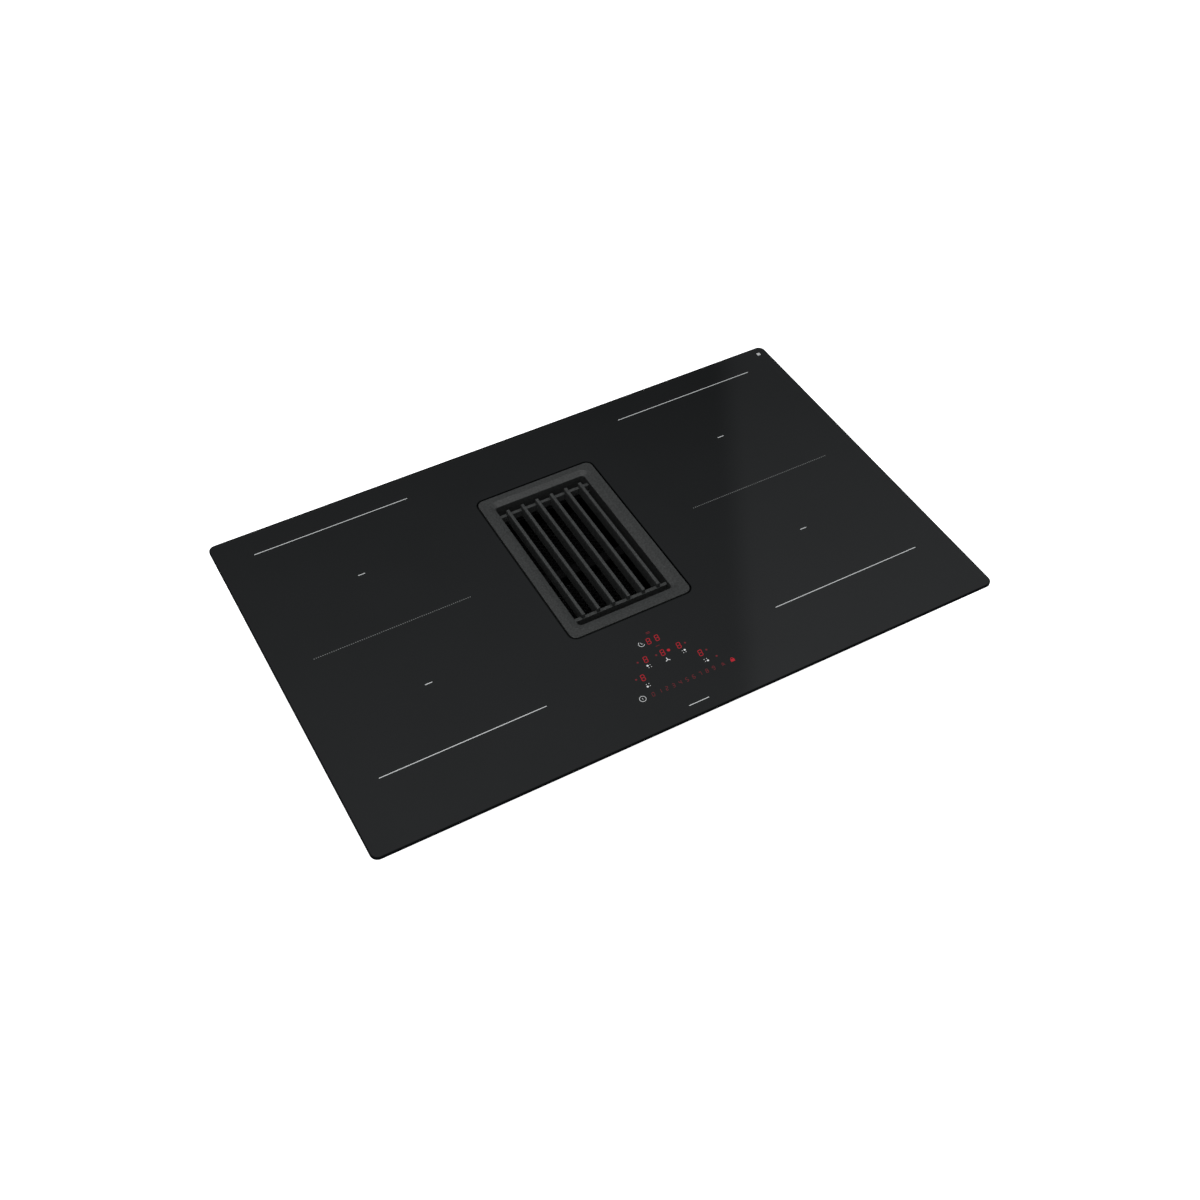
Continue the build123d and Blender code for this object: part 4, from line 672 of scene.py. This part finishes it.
def plain_marks():
    """A plain dash at the front and a small open square at the rear right."""
    dash = bar(-FRONT_DASH_HALF, FRONT_DASH_Y, FRONT_DASH_HALF, FRONT_DASH_Y, FRONT_DASH_W)
    printed("front_dash", [dash], print_white)
    left, right = SQUARE_X - SQUARE_HALF, SQUARE_X + SQUARE_HALF
    low, high = SQUARE_Y - SQUARE_HALF, SQUARE_Y + SQUARE_HALF
    outlines = [bar(left, y, right, y, SQUARE_W) for y in (low, high)]
    outlines += [bar(x, low + SQUARE_NECK, x, high - SQUARE_NECK, SQUARE_W) for x in (left, right)]
    outlines.append(disc(SQUARE_X, SQUARE_Y, SQUARE_DOT_R, 12))
    # The printed square takes the glowing symbol material: painted light on print
    printed("corner_square", outlines, symbol_white)


display_lights()
key_symbols()
plain_marks()


# ---------------------------------------------------------------- grease filter mesh

MESH_LAYERS, MESH_PITCH, MESH_RIM = 5, 6.2 * MM, 0.4 * MM
# Slope of the strands in degrees, steeper in every other layer, and the sideways shift of each layer
# as a share of the pitch
MESH_SLOPE, MESH_SLOPE_STEP, LAYER_SHIFT = 32, 4, 0.37
STRAND_W, STRAND_H, SHORTEST_STRAND = 1.7 * MM, 0.7 * MM, 4 * MM
# The two directions of a layer cross this far above and below its middle
CROSSING = 0.35 * MM
FAR_AWAY = 9.0


def clip_to_box(x0, y0, dx, dy, low, high):
    """The part of an endless line that lies inside a rectangle, or None if that is too short."""
    near, far = -FAR_AWAY, FAR_AWAY
    for start, step, lo, hi in ((x0, dx, low.x, high.x), (y0, dy, low.y, high.y)):
        a, b = sorted(((lo - start) / step, (hi - start) / step))
        near, far = max(near, a), min(far, b)
    return (near, far) if far - near > SHORTEST_STRAND else None


def strand(bm, start, end, z):
    """A wire of flattened diamond section between two points."""
    run = Vector((end[0] - start[0], end[1] - start[1], 0))
    side = run.normalized().cross(Vector((0, 0, 1))) * STRAND_W / 2
    up = Vector((0, 0, STRAND_H / 2))
    ring = []
    for x, y in (start, end):
        middle = Vector((x, y, z))
        corners = (middle + side, middle + up, middle - side, middle - up)
        ring.append([bm.verts.new(corner) for corner in corners])
    for i in range(4):
        j = (i + 1) % 4
        bm.faces.new((ring[0][i], ring[0][j], ring[1][j], ring[1][i]))
    bm.faces.new(reversed(ring[0]))
    bm.faces.new(ring[1])


def filter_layers():
    """Layers of expanded metal: crossing strands that make diamonds, each layer shifted."""
    low, high = (Vector(corner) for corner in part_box("filter_mesh"))
    rim = Vector((MESH_RIM, MESH_RIM, 0))
    low, high = low + rim, high - rim
    middle = (low + high) / 2
    count = int((high - low).length / 2 / MESH_PITCH)
    bm = bmesh.new()
    for layer in range(MESH_LAYERS):
        z = low.z + (high.z - low.z) * (layer + 0.5) / MESH_LAYERS
        for sign in (-1, 1):
            slope = math.radians(sign * (MESH_SLOPE + MESH_SLOPE_STEP * (layer % 2)))
            dx, dy = math.cos(slope), math.sin(slope)
            for i in range(-count, count + 1):
                offset = (i + LAYER_SHIFT * layer) * MESH_PITCH
                x0, y0 = middle.x - dy * offset, middle.y + dx * offset
                span = clip_to_box(x0, y0, dx, dy, low, high)
                if span:
                    start, end = ((x0 + dx * t, y0 + dy * t) for t in span)
                    strand(bm, start, end, z + sign * CROSSING)
    # The strands carry the well's painted shade, not only their own black
    mesh = piece("filter_wire_mesh", bm, mesh_painted_shade, "grease_filter")
    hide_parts("filter_mesh")


filter_layers()


# ---------------------------------------------------------------- camera, floor and light

# Degrees, metres, and the aim from the middle of the glass's top face
VIEW_AZIMUTH, VIEW_ELEVATION, VIEW_ROLL = 28.39, 48.44, -0.21
VIEW_DISTANCE, VIEW_AIM = 1.858, Vector((-0.0544, -0.0377, 0.0))
LENS_MM, SENSOR_MM, SHIFT_X, SHIFT_Y = 45.77, 36.0, 0.0234, 0.0004

# Glow of the surroundings by the height of a direction: white at the horizon, dim above it, paler at
# the ceiling
SKY_COLOUR = (0.95, 0.975, 1.0)
LOW_SPAN, HORIZON_GLOW = (0.05, 0.55), 1.0
CEILING_SPAN, CEILING_GLOW = (0.64, 0.83), (0.125, 0.42)
# A paler panel lies on one side of a plane, above a height, and fades toward the rear
PANEL_FACE, PANEL_EDGE, PANEL_RISE = (0.7186, -0.4017, -0.1055), (0.0, 0.012), (0.45, 0.58)
PANEL_SPAN, PANEL_GLOW = (0.46, 0.625), (0.188, 0.108)
FLOOR_HALF, FLOOR_Z, FLOOR_COLOUR, FLOOR_GLOW = 20.0, -0.5 * MM, (0.55, 0.55, 0.55), 0.9


def turned(azimuth, elevation, roll=0.0):
    """Rotation of a camera or lamp that looks along an azimuth, counted from +Y to +X, and down."""
    turn = Matrix.Rotation(math.radians(-azimuth), 4, "Z")
    tilt = Matrix.Rotation(math.radians(90 - elevation), 4, "X")
    return turn @ tilt @ Matrix.Rotation(math.radians(roll), 4, "Z")


def place_camera():
    """Sets the camera that looks down over the front of the glass."""
    data = bpy.data.cameras.new("camera")
    data.lens, data.sensor_width = LENS_MM, SENSOR_MM
    data.shift_x, data.shift_y = SHIFT_X, SHIFT_Y
    camera = bpy.data.objects.new("camera", data)
    bpy.context.scene.collection.objects.link(camera)
    rotation = turned(VIEW_AZIMUTH, VIEW_ELEVATION, VIEW_ROLL)
    forward = rotation @ Vector((0, 0, -1))
    aim = Vector((GLASS_MID.x, GLASS_MID.y, GLASS_TOP)) + VIEW_AIM
    camera.matrix_world = Matrix.Translation(aim - forward * VIEW_DISTANCE) @ rotation
    bpy.context.scene.camera = camera


def softbox(name, azimuth, elevation, distance, size, power):
    """A square lamp aimed at the glass along an azimuth and elevation."""
    data = bpy.data.lights.new(name, "AREA")
    data.shape, data.size, data.energy = "SQUARE", size, power
    lamp = bpy.data.objects.new(name, data)
    bpy.context.scene.collection.objects.link(lamp)
    rotation = turned(azimuth, elevation)
    forward = rotation @ Vector((0, 0, -1))
    lamp.matrix_world = Matrix.Translation(GLASS_MID - forward * distance) @ rotation


def floor_plane():
    """The plain pale floor, which also gives some light by itself."""
    paint = Paint("floor", roughness=0.9, Specular_IOR_Level=0.1)
    paint.shader.inputs["Base Color"].default_value = (*FLOOR_COLOUR, 1.0)
    paint.shader.inputs["Emission Color"].default_value = (1.0, 1.0, 1.0, 1.0)
    paint.shader.inputs["Emission Strength"].default_value = FLOOR_GLOW
    signs = ((-1, -1), (1, -1), (1, 1), (-1, 1))
    corners = [(x * FLOOR_HALF, y * FLOOR_HALF, FLOOR_Z) for x, y in signs]
    mesh = bpy.data.meshes.new("floor")
    mesh.from_pydata(corners, [], [(0, 1, 2, 3)])
    mesh.materials.append(paint.done())
    made = bpy.data.objects.new("floor", mesh)
    bpy.context.scene.collection.objects.link(made)


def sky():
    """The surroundings, as a glow that depends on direction."""
    world = bpy.data.worlds.new("studio")
    world.use_nodes = True
    nodes, links = world.node_tree.nodes, world.node_tree.links

    def ramp(source, start, end, low, high, smooth=False):
        node = nodes.new("ShaderNodeMapRange")
        node.interpolation_type = "SMOOTHSTEP" if smooth else "LINEAR"
        values = {"From Min": start, "From Max": end, "To Min": low, "To Max": high}
        for socket, value in values.items():
            node.inputs[socket].default_value = value
        links.new(source, node.inputs["Value"])
        return node.outputs["Result"]

    def combine(operation, first, second):
        node = nodes.new("ShaderNodeMath")
        node.operation = operation
        links.new(first, node.inputs[0])
        links.new(second, node.inputs[1])
        return node.outputs[0]

    direction = nodes.new("ShaderNodeTexCoord").outputs["Generated"]
    split = nodes.new("ShaderNodeSeparateXYZ")
    links.new(direction, split.inputs[0])
    height = split.outputs["Z"]
    low_part = ramp(height, *LOW_SPAN, HORIZON_GLOW, CEILING_GLOW[0], smooth=True)
    ceiling = ramp(height, *CEILING_SPAN, 0.0, CEILING_GLOW[1] - CEILING_GLOW[0])
    side = nodes.new("ShaderNodeVectorMath")
    side.operation = "DOT_PRODUCT"
    side.inputs[1].default_value = PANEL_FACE
    links.new(direction, side.inputs[0])
    beyond = ramp(side.outputs["Value"], *PANEL_EDGE, 0.0, 1.0)
    above = ramp(height, *PANEL_RISE, 0.0, 1.0)
    fade = ramp(split.outputs["Y"], *PANEL_SPAN, *PANEL_GLOW)
    panel = combine("MULTIPLY", combine("MULTIPLY", beyond, above), fade)
    glow = combine("ADD", combine("ADD", low_part, ceiling), panel)
    links.new(glow, nodes["Background"].inputs["Strength"])
    nodes["Background"].inputs["Color"].default_value = (*SKY_COLOUR, 1.0)
    bpy.context.scene.world = world


place_camera()
floor_plane()
sky()
softbox("overhead_light", azimuth=60.0, elevation=80.0, distance=3.2, size=2.2, power=110.0)
softbox("camera_side_light", azimuth=40.0, elevation=45.0, distance=3.6, size=2.4, power=20.0)
bpy.context.scene.view_settings.view_transform = "Standard"
